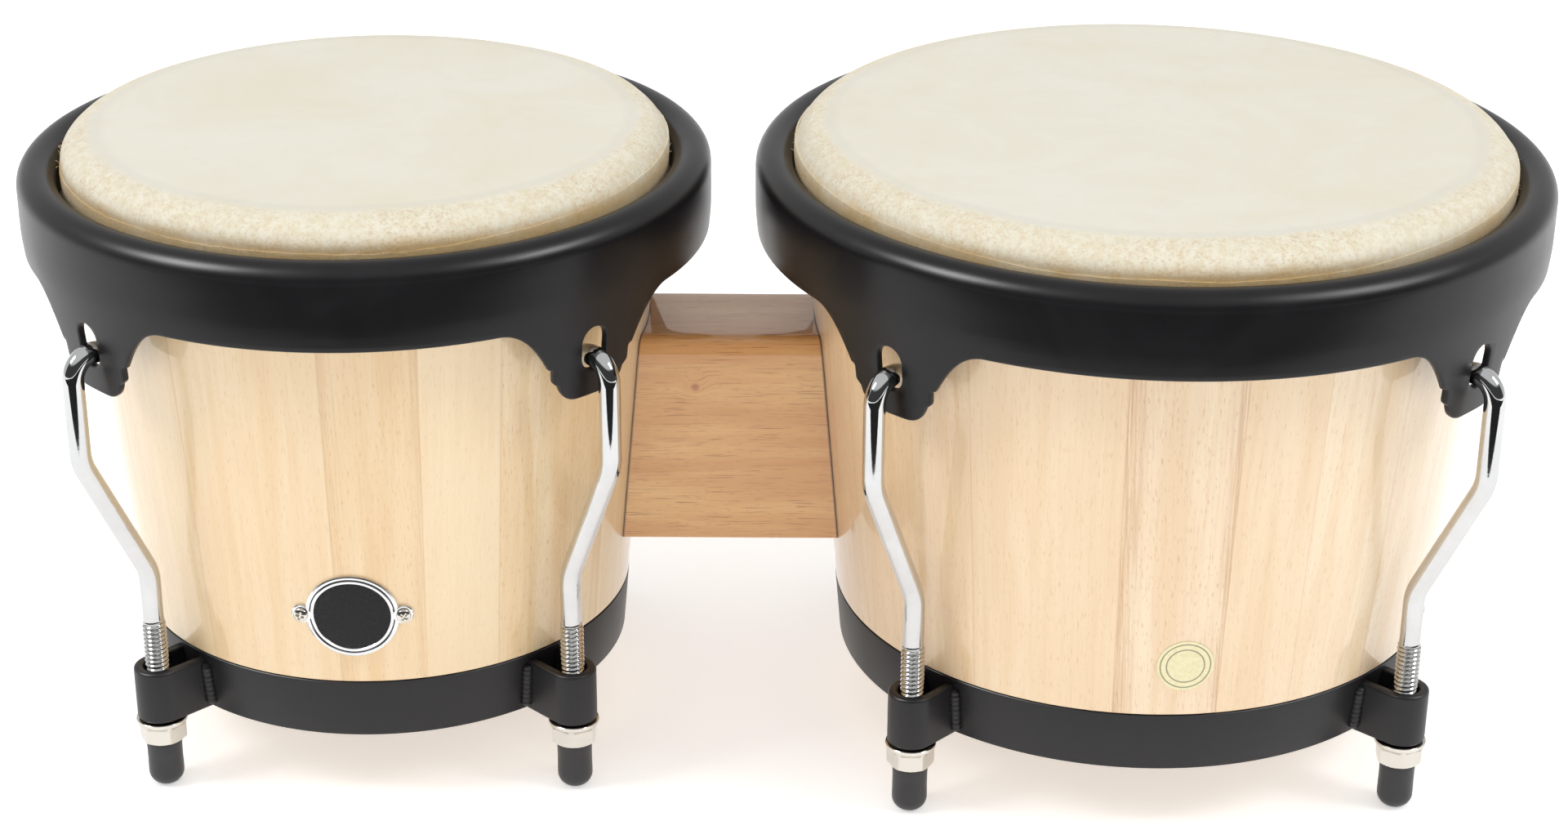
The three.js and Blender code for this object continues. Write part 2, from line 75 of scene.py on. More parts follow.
HEAD_Z = span("macho_head_skin", 2)[1]
LUGS = {"front_left": -135, "front_right": -45, "back_right": 45, "back_left": 135}
DRUMS = {
    "macho": dict(shell=70.1, hoop=85.725, rim=91.2, rod=78.0, hook=95.0, turn=0.0, staves=16,
                  pale=(242, 220, 183), warm=(234, 203, 156), cut_edge=(0.0, 3.0)),
    "hembra": dict(shell=85.2, hoop=101.6, rim=105.4, rod=92.0, hook=109.0, turn=1.4, staves=19,
                   pale=(243, 222, 192), warm=(235, 206, 168), cut_edge=(2.6, 2.6)),
}
for drum_name, drum_sizes in DRUMS.items():
    drum_sizes["name"] = drum_name
    drum_sizes["x"] = middle(f"{drum_name}_rim", 0)

# The shell is a cone: its drum's own radius at REF_Z, growing by TAPER for each mm of height.
TAPER, REF_Z, WALL, EDGE_R = 0.0868, 68.3, 11.0, 6.0
GAP = 0.3  # what the frame leaves between parts that touch
SHELL_Z = span("macho_shell", 2)
RING_Z = span("macho_bottom_ring", 2)
RING_SHEET, RING_PROUD = 1.6, 0.1
SKIN_THICK = 1.1
EASE = 2.6  # how much wider the skin's shoulder is rounded than the frame's
SHOULDER_Z = HEAD_Z - SKIN_THICK - GAP - EDGE_R
HOOP_Z = span("macho_flesh_hoop", 2)
BRACKET = dict(sheet=2.6, outer=6.3, top=35.8, sunk=0.6, edge=0.95)
BEAD = dict(radius=1.75, inset=1.1, ridge=0.10, ridges=9, lumps=0.16)
PITCH = 25.4 / 20
CREST, ROOT_R, SHANK = 3.175, 2.62, 2.78
THREAD_Z = (14.0, 49.7)
ROD = dict(start=48.6, low=63.5, high=100.2, sway=14.0, bend=6.2, hook_z=122.7, tip=135)
NUT = dict(flats=11.1, z=(13.8, 18.2), flange=(6.8, 19.35, 20.4), bore=CREST + 0.08, turn=12)
CAP = dict(radius=4.7, dome=3.8, lip=0.38, bore=CREST + 0.05, floor=3.4)
BOLT = dict(flats=10, head=4, radius=3.0, washer=9, hole=3.4)


def shell_r(drum, z):
    return drum["shell"] + (z - REF_Z) * TAPER


def head_r(drum):
    return shell_r(drum, SHOULDER_Z) + GAP + SKIN_THICK


# ---- mesh tools

def link(name, data):
    thing = bpy.data.objects.new(name, data)
    bpy.context.scene.collection.objects.link(thing)
    return thing


def make(name, verts, faces, mats, body, slot, nodes, smooth=32, indices=None, weld=1e-6):
    """A mesh piece from mm coordinates, welded, facing out, that stands for CAD nodes."""
    mesh = bpy.data.meshes.new(name)
    mesh.from_pydata([tuple(c * MM for c in v) for v in verts], [], faces)
    for mat in mats if isinstance(mats, (list, tuple)) else [mats]:
        mesh.materials.append(mat)
    if indices:
        mesh.polygons.foreach_set("material_index", indices)
    bm = bmesh.new()
    bm.from_mesh(mesh)
    if weld:
        bmesh.ops.remove_doubles(bm, verts=bm.verts, dist=weld)
        bmesh.ops.dissolve_degenerate(bm, edges=bm.edges, dist=1e-8)
    bmesh.ops.recalc_face_normals(bm, faces=bm.faces)
    bm.to_mesh(mesh)
    bm.free()
    mesh.polygons.foreach_set("use_smooth", [True] * len(mesh.polygons))
    mesh.set_sharp_from_angle(angle=radians(smooth))
    piece = link(name, mesh)
    if body:
        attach(piece, body)
    if nodes:
        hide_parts(*nodes)
    return piece


def drum_piece(drum, name, shape, mats, slot, node, body=None, **how):
    """A piece whose name, node and body all start with its drum's name."""
    own = drum["name"]
    rides = f"{own}_{body}" if body else ROOT
    return make(f"{own}_{name}", *shape, mats, rides, slot, [f"{own}_{node}"], **how)


def grid_faces(rows, columns, wrap_rows=False, wrap_columns=False):
    faces = []
    for i in range(rows if wrap_rows else rows - 1):
        for j in range(columns if wrap_columns else columns - 1):
            a, b = i, (i + 1) % rows
            c, d = j, (j + 1) % columns
            faces.append((a * columns + c, b * columns + c, b * columns + d, a * columns + d))
    return faces


def sleeve_faces(rows, columns):
    """Faces of a stack of closed rings, with a face over each end."""
    last = (rows - 1) * columns
    ends = [tuple(range(columns)), tuple(range(last, last + columns))]
    return grid_faces(rows, columns, False, True) + ends


def rounded(points, radius, steps=4):
    """A closed outline with each corner rounded: radius is one number or one for each corner."""
    result = []
    count = len(points)
    for i, p in enumerate(points):
        r = radius[i] if isinstance(radius, (list, tuple)) else radius
        if not r:
            result.append(tuple(p))
            continue
        p, a, b = Vector(p), Vector(points[i - 1]), Vector(points[(i + 1) % count])
        to_a, to_b = a - p, b - p
        ra, rb = min(r, 0.48 * to_a.length), min(r, 0.48 * to_b.length)
        start, end = p + to_a.normalized() * ra, p + to_b.normalized() * rb
        for k in range(steps + 1):
            t = k / steps
            result.append(tuple(start * (1 - t) ** 2 + p * 2 * t * (1 - t) + end * t * t))
    return result


def lathe(profile, sides, x=0.0, change=None):
    """Vertices and faces of a closed (radius, z) outline turned about a vertical axis."""
    verts = []
    for i in range(sides):
        a = 2 * pi * i / sides
        for r, z in profile:
            rr, zz = change(a, r, z) if change else (r, z)
            verts.append(polar(rr, a, zz, x))
    return verts, grid_faces(sides, len(profile), True, True)


def tube(path, side, radius, sides=24, ends=3):
    """A round rod along a plane path; side is the unit normal of its plane. Its ends are domed."""
    flat, tip = 0.5, 0.02
    path = [Vector(p) for p in path]
    rings = []
    for i, p in enumerate(path):
        tangent = (path[min(i + 1, len(path) - 1)] - path[max(i - 1, 0)]).normalized()
        rings.append((p, tangent, radius))

    def dome(ring, k, way):
        place, tangent, _ = ring
        turn = k * pi / 2 / ends
        return place + tangent * radius * way * flat * sin(turn), tangent, radius * max(cos(turn), tip)

    before = [dome(rings[0], k, -1) for k in range(ends, 0, -1)]
    after = [dome(rings[-1], k, 1) for k in range(1, ends + 1)]
    rings = before + rings + after
    verts = []
    for p, tangent, r in rings:
        other = tangent.cross(side)
        for k in range(sides):
            a = 2 * pi * k / sides
            verts.append(tuple(p + (side * cos(a) + other * sin(a)) * r))
    return verts, sleeve_faces(len(rings), sides)


def join(*parts):
    """Joins (verts, faces) pairs into one pair."""
    verts, faces = [], []
    for v, f in parts:
        start = len(verts)
        verts += v
        faces += [tuple(start + k for k in face) for face in f]
    return verts, faces


def moved(part, matrix):
    verts, faces = part
    return [tuple(matrix @ Vector(v)) for v in verts], faces


def polar(r, a, z, x=0.0):
    return (x + r * cos(a), r * sin(a), z)


def pick(sizes, *keys):
    return [sizes[key] for key in keys]


def around(angle, x=0.0):
    """Turns about a drum's axis by an angle in degrees."""
    return Matrix.Translation((x, 0, 0)) @ Matrix.Rotation(radians(angle), 4, "Z")


def at_rod(drum, angle):
    """Puts a piece made about the Z axis at one of the drum's rods."""
    return around(angle, drum["x"]) @ Matrix.Translation((drum["rod"], 0, 0))


def arc(x, y, radius, start, end, steps):
    angles = [radians(start + (end - start) * k / steps) for k in range(steps + 1)]
    return [(x + radius * cos(a), y + radius * sin(a)) for a in angles]


# ---- material tools

class Nodes:
    """Short calls for the nodes of one tree."""

    def __init__(self, tree):
        self.tree = tree

    def add(self, kind, inputs=None, **props):
        node = self.tree.nodes.new(kind)
        for key, value in props.items():
            setattr(node, key, value)
        for key, value in (inputs or {}).items():
            if isinstance(value, bpy.types.NodeSocket):
                self.tree.links.new(value, node.inputs[key])
            else:
                node.inputs[key].default_value = value
        return node

    def math(self, operation, a, b=0.0, c=0.0, clamp=False):
        return self.add("ShaderNodeMath", {0: a, 1: b, 2: c}, operation=operation, use_clamp=clamp).outputs[0]

    def times(self, a, b):
        return self.math("MULTIPLY", a, b)

    def plus(self, a, b):
        return self.math("ADD", a, b)

    def minus(self, a, b):
        return self.math("SUBTRACT", a, b)

    def length(self, a, b):
        return self.math("SQRT", self.plus(self.times(a, a), self.times(b, b)))

    def split(self, vector):
        return self.add("ShaderNodeSeparateXYZ", {0: vector}).outputs

    def vector(self, x, y, z):
        return self.add("ShaderNodeCombineXYZ", {0: x, 1: y, 2: z}).outputs[0]

    def noise(self, vector, scale, detail=3.0, rough=0.5, warp=0.0):
        values = {"Vector": vector, "Scale": scale, "Detail": detail, "Roughness": rough, "Distortion": warp}
        return self.add("ShaderNodeTexNoise", values).outputs["Fac"]

    def streaks(self, a, by_a, b, by_b, third, detail, rough=0.5, warp=0.0):
        """Noise with its own scale along each of two coordinates."""
        place = self.vector(self.times(a, by_a), self.times(b, by_b), third)
        return self.noise(place, 1.0, detail, rough, warp)

    def ramp(self, value, low, high, to_low=0.0, to_high=1.0):
        values = {0: value, 1: low, 2: high, 3: to_low, 4: to_high}
        return self.add("ShaderNodeMapRange", values, interpolation_type="SMOOTHSTEP").outputs[0]

    def mix(self, factor, a, b):
        return self.add("ShaderNodeMix", {0: factor, 6: a, 7: b}, data_type="RGBA").outputs[2]

    def tint(self, tone, amount, red, green, blue):
        """Lays an 8-bit sRGB colour over a tone."""
        return self.mix(amount, tone, colour(red, green, blue))


class Shader(Nodes):
    """A material with a principled shader."""

    def __init__(self, name, **settings):
        self.mat = bpy.data.materials.new(name)
        self.mat.use_nodes = True
        super().__init__(self.mat.node_tree)
        self.tree.nodes.clear()
        out = self.tree.nodes.new("ShaderNodeOutputMaterial")
        self.bsdf = self.tree.nodes.new("ShaderNodeBsdfPrincipled")
        self.tree.links.new(self.bsdf.outputs[0], out.inputs[0])
        for key, value in settings.items():
            self.bsdf.inputs[key.replace("_", " ")].default_value = value
        self.place = self.add("ShaderNodeTexCoord").outputs["Object"]

    def set(self, key, socket):
        self.tree.links.new(socket, self.bsdf.inputs[key])

    def bump(self, height, strength, distance):
        values = {"Height": height, "Strength": strength, "Distance": distance}
        self.set("Normal", self.add("ShaderNodeBump", values).outputs[0])

    def mottle(self, value, first, second, tone_at, rough, rough_at):
        """Base colour and roughness that both follow one noise."""
        self.set("Base Color", self.mix(self.ramp(value, *tone_at), first, second))
        self.set("Roughness", self.ramp(value, *rough_at, *rough))


def colour(red, green, blue):
    """Linear colour with alpha from an 8-bit sRGB one."""
    def linear(c):
        c /= 255
        return c / 12.92 if c <= 0.04045 else ((c + 0.055) / 1.055) ** 2.4
    return (linear(red), linear(green), linear(blue), 1.0)


# ---- materials

LACQUER = dict(Coat_Weight=1.0, Coat_IOR=1.5)


def wood_grain(s, along, across, depth, tones, seed, mark):
    """Straight-grained wood: broad tone, growth bands, fine fibres and short dark pores."""
    pale, warm, dark = tones
    bands = s.streaks(across, 0.16, along, 0.010, depth, 4.0, 0.55, 0.6)
    fibres = s.streaks(across, 1.9, along, 0.035, depth, 5.0, 0.65, 0.2)
    pores = s.ramp(s.streaks(across, 2.6, along, 0.36, seed, 2.0), 0.60, 0.70)
    cloud = s.streaks(across, 0.05, along, 0.03, seed + 3, 2.0)
    tone = s.mix(s.ramp(bands, 0.36, 0.68), pale, warm)
    tone = s.mix(s.ramp(cloud, 0.35, 0.72, 0.0, 0.35), tone, warm)
    tone = s.mix(s.ramp(fibres, 0.42, 0.78, 0.0, 0.18), tone, dark)
    tone = s.mix(s.times(pores, mark), tone, dark)
    dashes = s.ramp(s.streaks(across, 1.3, along, 0.12, seed + 7, 3.0, 0.6), 0.60, 0.72)
    return s.mix(s.times(dashes, mark * 0.6), tone, dark), fibres, pores


def wood_surface(s, tone, fibres, pores, smoothest, roughest, relief):
    s.set("Base Color", tone)
    s.set("Roughness", s.ramp(fibres, 0.3, 0.8, smoothest, roughest))
    s.bump(s.minus(s.times(fibres, 0.35), pores), relief, 0.0002)


def shell_wood(drum, name, inside=False):
    """Staves side by side, each with its own luck in tone, grain and lean, lacquered on the outside."""
    gloss = dict(Specular_IOR_Level=0.3) if inside else dict(LACQUER, Coat_Roughness=0.025)
    s = Shader(name, **gloss)
    x, y, z = s.split(s.place)
    angle = s.math("ARCTAN2", y, s.minus(x, drum["x"] * MM))
    count = drum["staves"]
    turn = s.math("MULTIPLY_ADD", angle, count / (2 * pi), count + 0.37)
    turn = s.plus(turn, s.times(s.math("SINE", s.times(angle, 5.0)), 0.22))
    stave, within = s.math("FLOOR", turn), s.math("FRACT", turn)
    luck = s.add("ShaderNodeTexWhiteNoise", {"W": s.plus(stave, drum["shell"])}, noise_dimensions="1D")
    first, second, third = s.add("ShaderNodeSeparateColor", {0: luck.outputs["Color"]}).outputs
    across = s.math("MULTIPLY_ADD", angle, drum["shell"], s.times(first, 400.0))
    across = s.plus(across, s.times(z, s.times(s.minus(second, 0.5), 60.0)))
    along = s.math("MULTIPLY_ADD", z, PER_MM, s.times(second, 300.0))
    tones = colour(*drum["pale"]), colour(*drum["warm"]), colour(198, 148, 98)
    tone, fibres, pores = wood_grain(s, along, across, s.times(third, 9.0), tones, drum["shell"], 0.42)
    tone = s.tint(tone, s.ramp(first, 0.15, 0.95, 0.0, 0.30), 226, 186, 134)
    tone = s.tint(tone, s.ramp(third, 0.55, 1.0, 0.0, 0.45), 245, 226, 192)
    edge = s.math("MINIMUM", within, s.minus(1.0, within))
    tone = s.tint(tone, s.ramp(edge, 0.0, 0.014, 0.24, 0.0), 196, 150, 100)
    streak = s.times(s.ramp(edge, 0.0, 0.20, 1.0, 0.0), s.ramp(second, 0.62, 0.90))
    streak = s.times(streak, s.ramp(fibres, 0.30, 0.62))
    tone = s.tint(tone, s.times(streak, 0.55), 190, 138, 78)
    wood_surface(s, tone, fibres, pores, *((0.5, 0.75, 0.5) if inside else (0.30, 0.46, 0.12)))
    return s.mat


def block_wood():
    """Lengthwise grain with a small knot, and a dark joint line along each shell."""
    s = Shader("block_wood", **LACQUER, Coat_Roughness=0.03)
    x, y, z = s.split(s.place)
    bend = s.times(s.noise(s.place, 9.0, 2.0), 7.0)
    across = s.plus(s.math("MULTIPLY_ADD", z, PER_MM, bend), s.times(y, 700.0))
    along = s.times(x, PER_MM)
    low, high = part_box("centre_block")
    knot_x, knot_z = low.x + 0.34 * (high.x - low.x), low.z + 0.76 * (high.z - low.z)
    away = s.length(s.times(s.minus(x, knot_x), PER_MM), s.times(s.minus(z, knot_z), PER_MM))
    across = s.plus(across, s.ramp(away, 0.0, 6.0, 2.2, 0.0))
    tones = colour(228, 182, 117), colour(214, 160, 94), colour(156, 96, 50)
    tone, fibres, pores = wood_grain(s, along, across, 0.0, tones, 21.0, 0.34)
    broad = s.streaks(along, 0.012, across, 0.07, 2.0, 2.0)
    tone = s.tint(tone, s.ramp(broad, 0.38, 0.62, 0.0, 0.55), 198, 134, 72)
    lines = s.ramp(s.streaks(along, 0.085, across, 2.3, 4.0, 2.0), 0.59, 0.68)
    tone = s.tint(tone, s.times(lines, 0.55), 146, 84, 42)
    tone = s.tint(tone, s.ramp(away, 0.5, 1.5, 0.65, 0.0), 156, 86, 44)
    for drum in DRUMS.values():
        reach = s.length(s.minus(x, drum["x"] * MM), y)
        wall = s.math("MULTIPLY_ADD", z, TAPER, (drum["shell"] - REF_Z * TAPER) * MM)
        joint = s.ramp(s.minus(reach, wall), 0.0002, 0.0007, 0.85, 0.0)
        tone = s.tint(tone, joint, 104, 60, 30)
    wood_surface(s, tone, fibres, pores, 0.28, 0.44, 0.12)
    return s.mat


def rawhide(drum, name):
    """Cream and cloudy on top, suede-like and tan on the wall, amber where it meets the rim, with a band of
    painted shade at the crease between top and wall.
    """
    s = Shader(name, Specular_IOR_Level=0.35, Sheen_Weight=0.15, Sheen_Roughness=0.5, Subsurface_Weight=0.08,
               Subsurface_Radius=(0.004, 0.0025, 0.0012), Subsurface_Scale=0.5)
    x, y, z = s.split(s.place)
    radius = s.length(s.minus(x, drum["x"] * MM), y)
    below = s.times(s.minus(HEAD_Z * MM, z), PER_MM)
    wander = s.times(s.minus(s.noise(s.place, 40.0, 3.0), 0.5), 0.003)
    reach = s.minus(s.plus(radius, wander), head_r(drum) * MM)
    wall = s.ramp(reach, -0.0095, -0.0060)
    cloud = s.noise(s.place, 22.0, 4.0, 0.6, 0.8)
    veins = s.noise(s.place, 70.0, 5.0, 0.62, 1.4)
    speckle = s.noise(s.place, 1150.0, 3.0, 0.7)
    coarse = s.noise(s.place, 380.0, 3.0, 0.65)
    patch = s.noise(s.place, 34.0, 3.0, 0.6)
    top = s.mix(s.ramp(cloud, 0.30, 0.74), colour(239, 235, 220), colour(235, 228, 208))
    top = s.tint(top, s.ramp(veins, 0.50, 0.80, 0.0, 0.26), 229, 219, 194)
    # A soft grey ring where the flat top starts to roll over the bearing edge: painted shade of the skin's
    # slope there.
    painted_crease_shade = s.times(s.ramp(reach, -0.0125, -0.0095), s.ramp(reach, -0.0095, -0.0060, 1.0, 0.0))
    side = s.mix(s.ramp(coarse, 0.34, 0.70), colour(243, 236, 216), colour(234, 222, 194))
    flecks = s.times(s.ramp(speckle, 0.46, 0.68), s.ramp(patch, 0.34, 0.66, 0.20, 0.60))
    side = s.tint(side, flecks, 212, 182, 144)
    # Lays the painted crease shade, a greyer tone, over the top and wall colours.
    tone = s.tint(s.mix(wall, top, side), s.times(painted_crease_shade, 0.30), 218, 214, 202)
    amber = s.ramp(s.plus(below, s.times(patch, 5.0)), 7.0, 11.5)
    amber = s.times(amber, s.ramp(patch, 0.25, 0.6, 0.45, 1.0))
    s.set("Base Color", s.tint(tone, s.times(amber, 0.75), 216, 176, 104))
    s.set("Roughness", s.ramp(wall, 0.0, 1.0, 0.58, 0.86))
    nap = s.times(s.plus(speckle, coarse), s.math("MULTIPLY_ADD", wall, 0.9, 0.08))
    s.bump(s.plus(s.times(veins, 0.35), nap), 0.35, 0.0006)
    return s.mat


def powder_coat(name, gloss, low, high, depth=1.0):
    s = Shader(name, Specular_IOR_Level=gloss)
    smudge = s.noise(s.place, 30.0, 3.0, 0.6, 0.5)
    tones = ((0.0095, 0.0085, 0.0100), (0.0130, 0.0120, 0.0138))
    dark, pale = (tuple(c * depth for c in tone) + (1,) for tone in tones)
    s.mottle(smudge, dark, pale, (0.35, 0.7), (low, high), (0.3, 0.72))
    s.bump(s.noise(s.place, 1400.0, 2.0), 0.10, 0.00008)
    return s.mat


def bright_metal(name, tint, low, high, fine=900.0, depth=0.03):
    """A plated metal: faint smudges in its gloss and a very fine ripple."""
    s = Shader(name, Metallic=1.0)
    smudge = s.noise(s.place, 60.0, 4.0, 0.6, 0.4)
    shade = tuple(c * 0.93 for c in tint[:3]) + (1.0,)
    s.mottle(smudge, tint, shade, (0.35, 0.7), (low, high), (0.3, 0.75))
    s.bump(s.noise(s.place, fine, 2.0), depth, 0.0001)
    return s.mat


def vinyl():
    s = Shader("black_vinyl", Specular_IOR_Level=0.5)
    smudge = s.noise(s.place, 180.0, 3.0, 0.6)
    dark, pale = (0.018, 0.0175, 0.019, 1), (0.026, 0.025, 0.027, 1)
    s.mottle(smudge, dark, pale, (0.35, 0.7), (0.34, 0.46), (0.3, 0.72))
    s.bump(s.noise(s.place, 700.0, 2.0), 0.12, 0.0001)
    return s.mat


def badge_black():
    s = Shader("badge_black", Specular_IOR_Level=0.22)
    speck = s.noise(s.place, 1600.0, 2.0)
    dark, pale = (0.009, 0.009, 0.010, 1), (0.014, 0.014, 0.015, 1)
    s.mottle(speck, dark, pale, (0.4, 0.7), (0.24, 0.34), (0.3, 0.7))
    s.bump(speck, 0.06, 0.00005)
    return s.mat


def sticker(centre):
    """Pale yellow printed paper with two thin rings and no words."""
    s = Shader("sticker_paper", Coat_Weight=0.25, Coat_Roughness=0.2)
    away = s.add("ShaderNodeVectorMath", {0: s.place, 1: centre}, operation="DISTANCE").outputs["Value"]
    away = s.times(away, PER_MM)
    fibre = s.noise(s.place, 900.0, 3.0)
    tone = s.mix(s.ramp(fibre, 0.35, 0.7), colour(237, 229, 187), colour(229, 219, 174))
    for ring in (4.9, 6.5):
        off = s.math("ABSOLUTE", s.minus(away, ring))
        tone = s.tint(tone, s.ramp(off, 0.12, 0.26, 0.70, 0.0), 92, 84, 60)
    s.set("Base Color", tone)
    s.set("Roughness", s.ramp(fibre, 0.3, 0.7, 0.36, 0.50))
    s.bump(fibre, 0.08, 0.00005)
    return s.mat


RING_BLACK = powder_coat("ring_powder_coat", 0.40, 0.36, 0.44, 0.9)
RIM_BLACK = powder_coat("rim_powder_coat", 0.30, 0.28, 0.33, 0.75)
CHROME = bright_metal("rod_chrome", (0.64, 0.645, 0.65, 1), 0.035, 0.07)
THREAD_ROOT = bright_metal("thread_root", (0.34, 0.33, 0.31, 1), 0.22, 0.34)
NICKEL = bright_metal("nut_nickel", (0.68, 0.65, 0.595, 1), 0.09, 0.16)
ZINC = bright_metal("zinc_plate", (0.60, 0.61, 0.62, 1), 0.28, 0.42, 500.0, 0.08)
STEEL = bright_metal("hoop_steel", (0.50, 0.50, 0.51, 1), 0.34, 0.50, 400.0, 0.10)
SILVER = bright_metal("badge_silver", (0.78, 0.785, 0.80, 1), 0.16, 0.26)
VINYL = vinyl()
BLOCK_WOOD = block_wood()


# ---- shell and bottom ring

def build_shell(drum):
    """The staves: rebated for the ring below, rounded at the bearing edge, bare inside."""
    low, bearing = SHELL_Z[0], HEAD_Z - SKIN_THICK - GAP
    rebate = RING_SHEET + GAP - RING_PROUD
    ledge = RING_Z[1] + GAP
    inner = lambda z: shell_r(drum, z) - WALL
    profile = [(inner(low), low), (shell_r(drum, low) - rebate, low), (shell_r(drum, ledge) - rebate, ledge),
               (shell_r(drum, ledge) - 0.15, ledge), (shell_r(drum, ledge + 0.2), ledge + 0.2)]
    profile += [(shell_r(drum, z), z) for z in (55, 75, 95, 115, 135, 150)]
    profile += arc(shell_r(drum, SHOULDER_Z) - EDGE_R, SHOULDER_Z, EDGE_R, 0, 90, 8)
    profile += [(inner(bearing) + 3, bearing), (inner(bearing - 3), bearing - 3)]
    wall_from = len(profile) - 1
    profile += [(inner(z), z) for z in (140, 110, 80, 50)]
    verts, faces = lathe(profile, 256, drum["x"])
    columns = len(profile)
    inside = [1 if (k % columns) >= wall_from - 1 else 0 for k in range(len(faces))]
    name = drum["name"]
    mats = [shell_wood(drum, f"{name}_lacquered_staves"), shell_wood(drum, f"{name}_bare_staves", True)]
    shape = (verts, faces)
    drum_piece(drum, "staved_shell", shape, mats, "shell_wood", "shell", indices=inside, weld=None)


def strap(drum):
    """One lug bracket in the drum's own frame, lug along +X: a flat bar bent round the rod."""
    rod, half = drum["rod"], BRACKET["sheet"] / 2
    mid_r = BRACKET["outer"] - half
    start = shell_r(drum, RING_Z[0]) - BRACKET["sunk"]
    path = [(start + (rod - start) * k / 6, -mid_r, 1, 0) for k in range(6)]
    path += [(rod + mid_r * cos(a), mid_r * sin(a), -sin(a), cos(a)) for a in
             (radians(-90 + 180 * k / 28) for k in range(29))]
    path += [(rod - (rod - start) * k / 6, mid_r, -1, 0) for k in range(1, 7)]
    low, high = RING_Z[0], BRACKET["top"]
    section = rounded([(-half, low), (half, low), (half, high), (-half, high)], BRACKET["edge"], 5)
    verts = []
    for x, y, tx, ty in path:
        verts += [(x + ty * u, y - tx * u, z) for u, z in section]
    return verts, sleeve_faces(len(path), len(section))


def weld_bead(drum, side, seed):
    """A ridged fillet weld up the corner between a bracket leg and the ring."""
    rows, columns = 46, 12
    verts = []
    for i in range(rows):
        t = i / (rows - 1)
        z = RING_Z[0] + BEAD["inset"] + t * (BRACKET["top"] - RING_Z[0] - 2 * BEAD["inset"])
        fade = min(1.0, sqrt(max(0.0, 1 - (2 * t - 1) ** 14)))
        ripple = BEAD["ridge"] * sin(t * 2 * pi * BEAD["ridges"] + seed)
        ripple += BEAD["lumps"] * noise.noise(Vector((seed, t * 7, 0)))
        r = (BEAD["radius"] + ripple) * max(fade, 0.15)
        leg = BRACKET["outer"] * side
        cx = sqrt(max(shell_r(drum, z) ** 2 - leg * leg, 0)) + 0.35
        for k in range(columns):
            a = 2 * pi * k / columns
            verts.append((cx + r * cos(a), leg + side * 0.1 + r * sin(a), z))
    return verts, sleeve_faces(rows, columns)


def build_ring(drum):
    (low_r, low), (high_r, high) = ((shell_r(drum, z) + RING_PROUD, z) for z in RING_Z)
    corners = [(low_r - RING_SHEET, low), (low_r, low), (high_r, high), (high_r - RING_SHEET, high)]
    parts = [lathe(rounded(corners, 0.45, 3), 256)]
    for n, angle in enumerate(LUGS.values()):
        turn = around(angle + drum["turn"])
        parts.append(moved(strap(drum), turn))
        for side in (-1, 1):
            parts.append(moved(weld_bead(drum, side, n * 3.1 + side + drum["shell"]), turn))
    shape = moved(join(*parts), around(0, drum["x"]))
    drum_piece(drum, "ring_and_brackets", shape, RING_BLACK, "black_steel", "bottom_ring")


# ---- rim: one bent, cut and rolled sheet

RIM = dict(sheet=2.0, roll=5.1, roll_z=157.8, bend_z=146.2, skirt_z=140.8, tip_z=118.2, taper=0.1,
           edge=0.55, slot=3.9, slot_z=(125.4, 137.1))
RIM_TIP = RIM["tip_z"]


def rim_profile(drum):
    """Stations (arc length, radius, z) of the sheet's middle surface, from the lug tips to the lip."""
    half = RIM["sheet"] / 2
    mid = drum["rim"] - half
    centre = drum["rim"] - RIM["roll"]
    roll = RIM["roll"] - half
    lip_z = HOOP_Z[1] + SKIN_THICK + 0.6
    points = [(mid - RIM["taper"] * (RIM["bend_z"] - z), z) for z in (RIM_TIP, 134.0, 142.5)]
    points += [(mid - 0.15, 144.8), (mid - 0.03, 147.2), (mid, 150.5), (mid, 154.2)]
    points += arc(centre, RIM["roll_z"], roll, 0, 180, 20)
    points += [(centre - roll, 155.0), (centre - roll, lip_z)]
    stations, length = [], 0.0
    for i, (r, z) in enumerate(points):
        if i:
            length += math.dist(points[i - 1], points[i])
        stations.append((length, r, z))
    return stations


def lug_curve():
    """Right half of a lug's outline as (sideways, z), from the arch down to the middle of the tip."""
    def bezier(points, steps):
        result = []
        for k in range(steps + 1):
            t = k / steps
            level = [Vector(p) for p in points]
            while len(level) > 1:
                level = [a.lerp(b, t) for a, b in zip(level, level[1:])]
            result.append(tuple(level[0]))
        return result
    arch = bezier([(28, RIM["skirt_z"]), (22, RIM["skirt_z"]), (18, 135.2), (14.2, 128.6)], 18)
    step = rounded([(14.2, 128.6), (12.9, 128.2), (12.7, 124.4), (10.9, 123.0)], [0, 0.5, 0.7, 0], 3)[1:]
    toe = bezier([(10.9, 123.0), (9.5, RIM_TIP), (4.5, RIM_TIP)], 12)[1:]
    return arch + step + toe


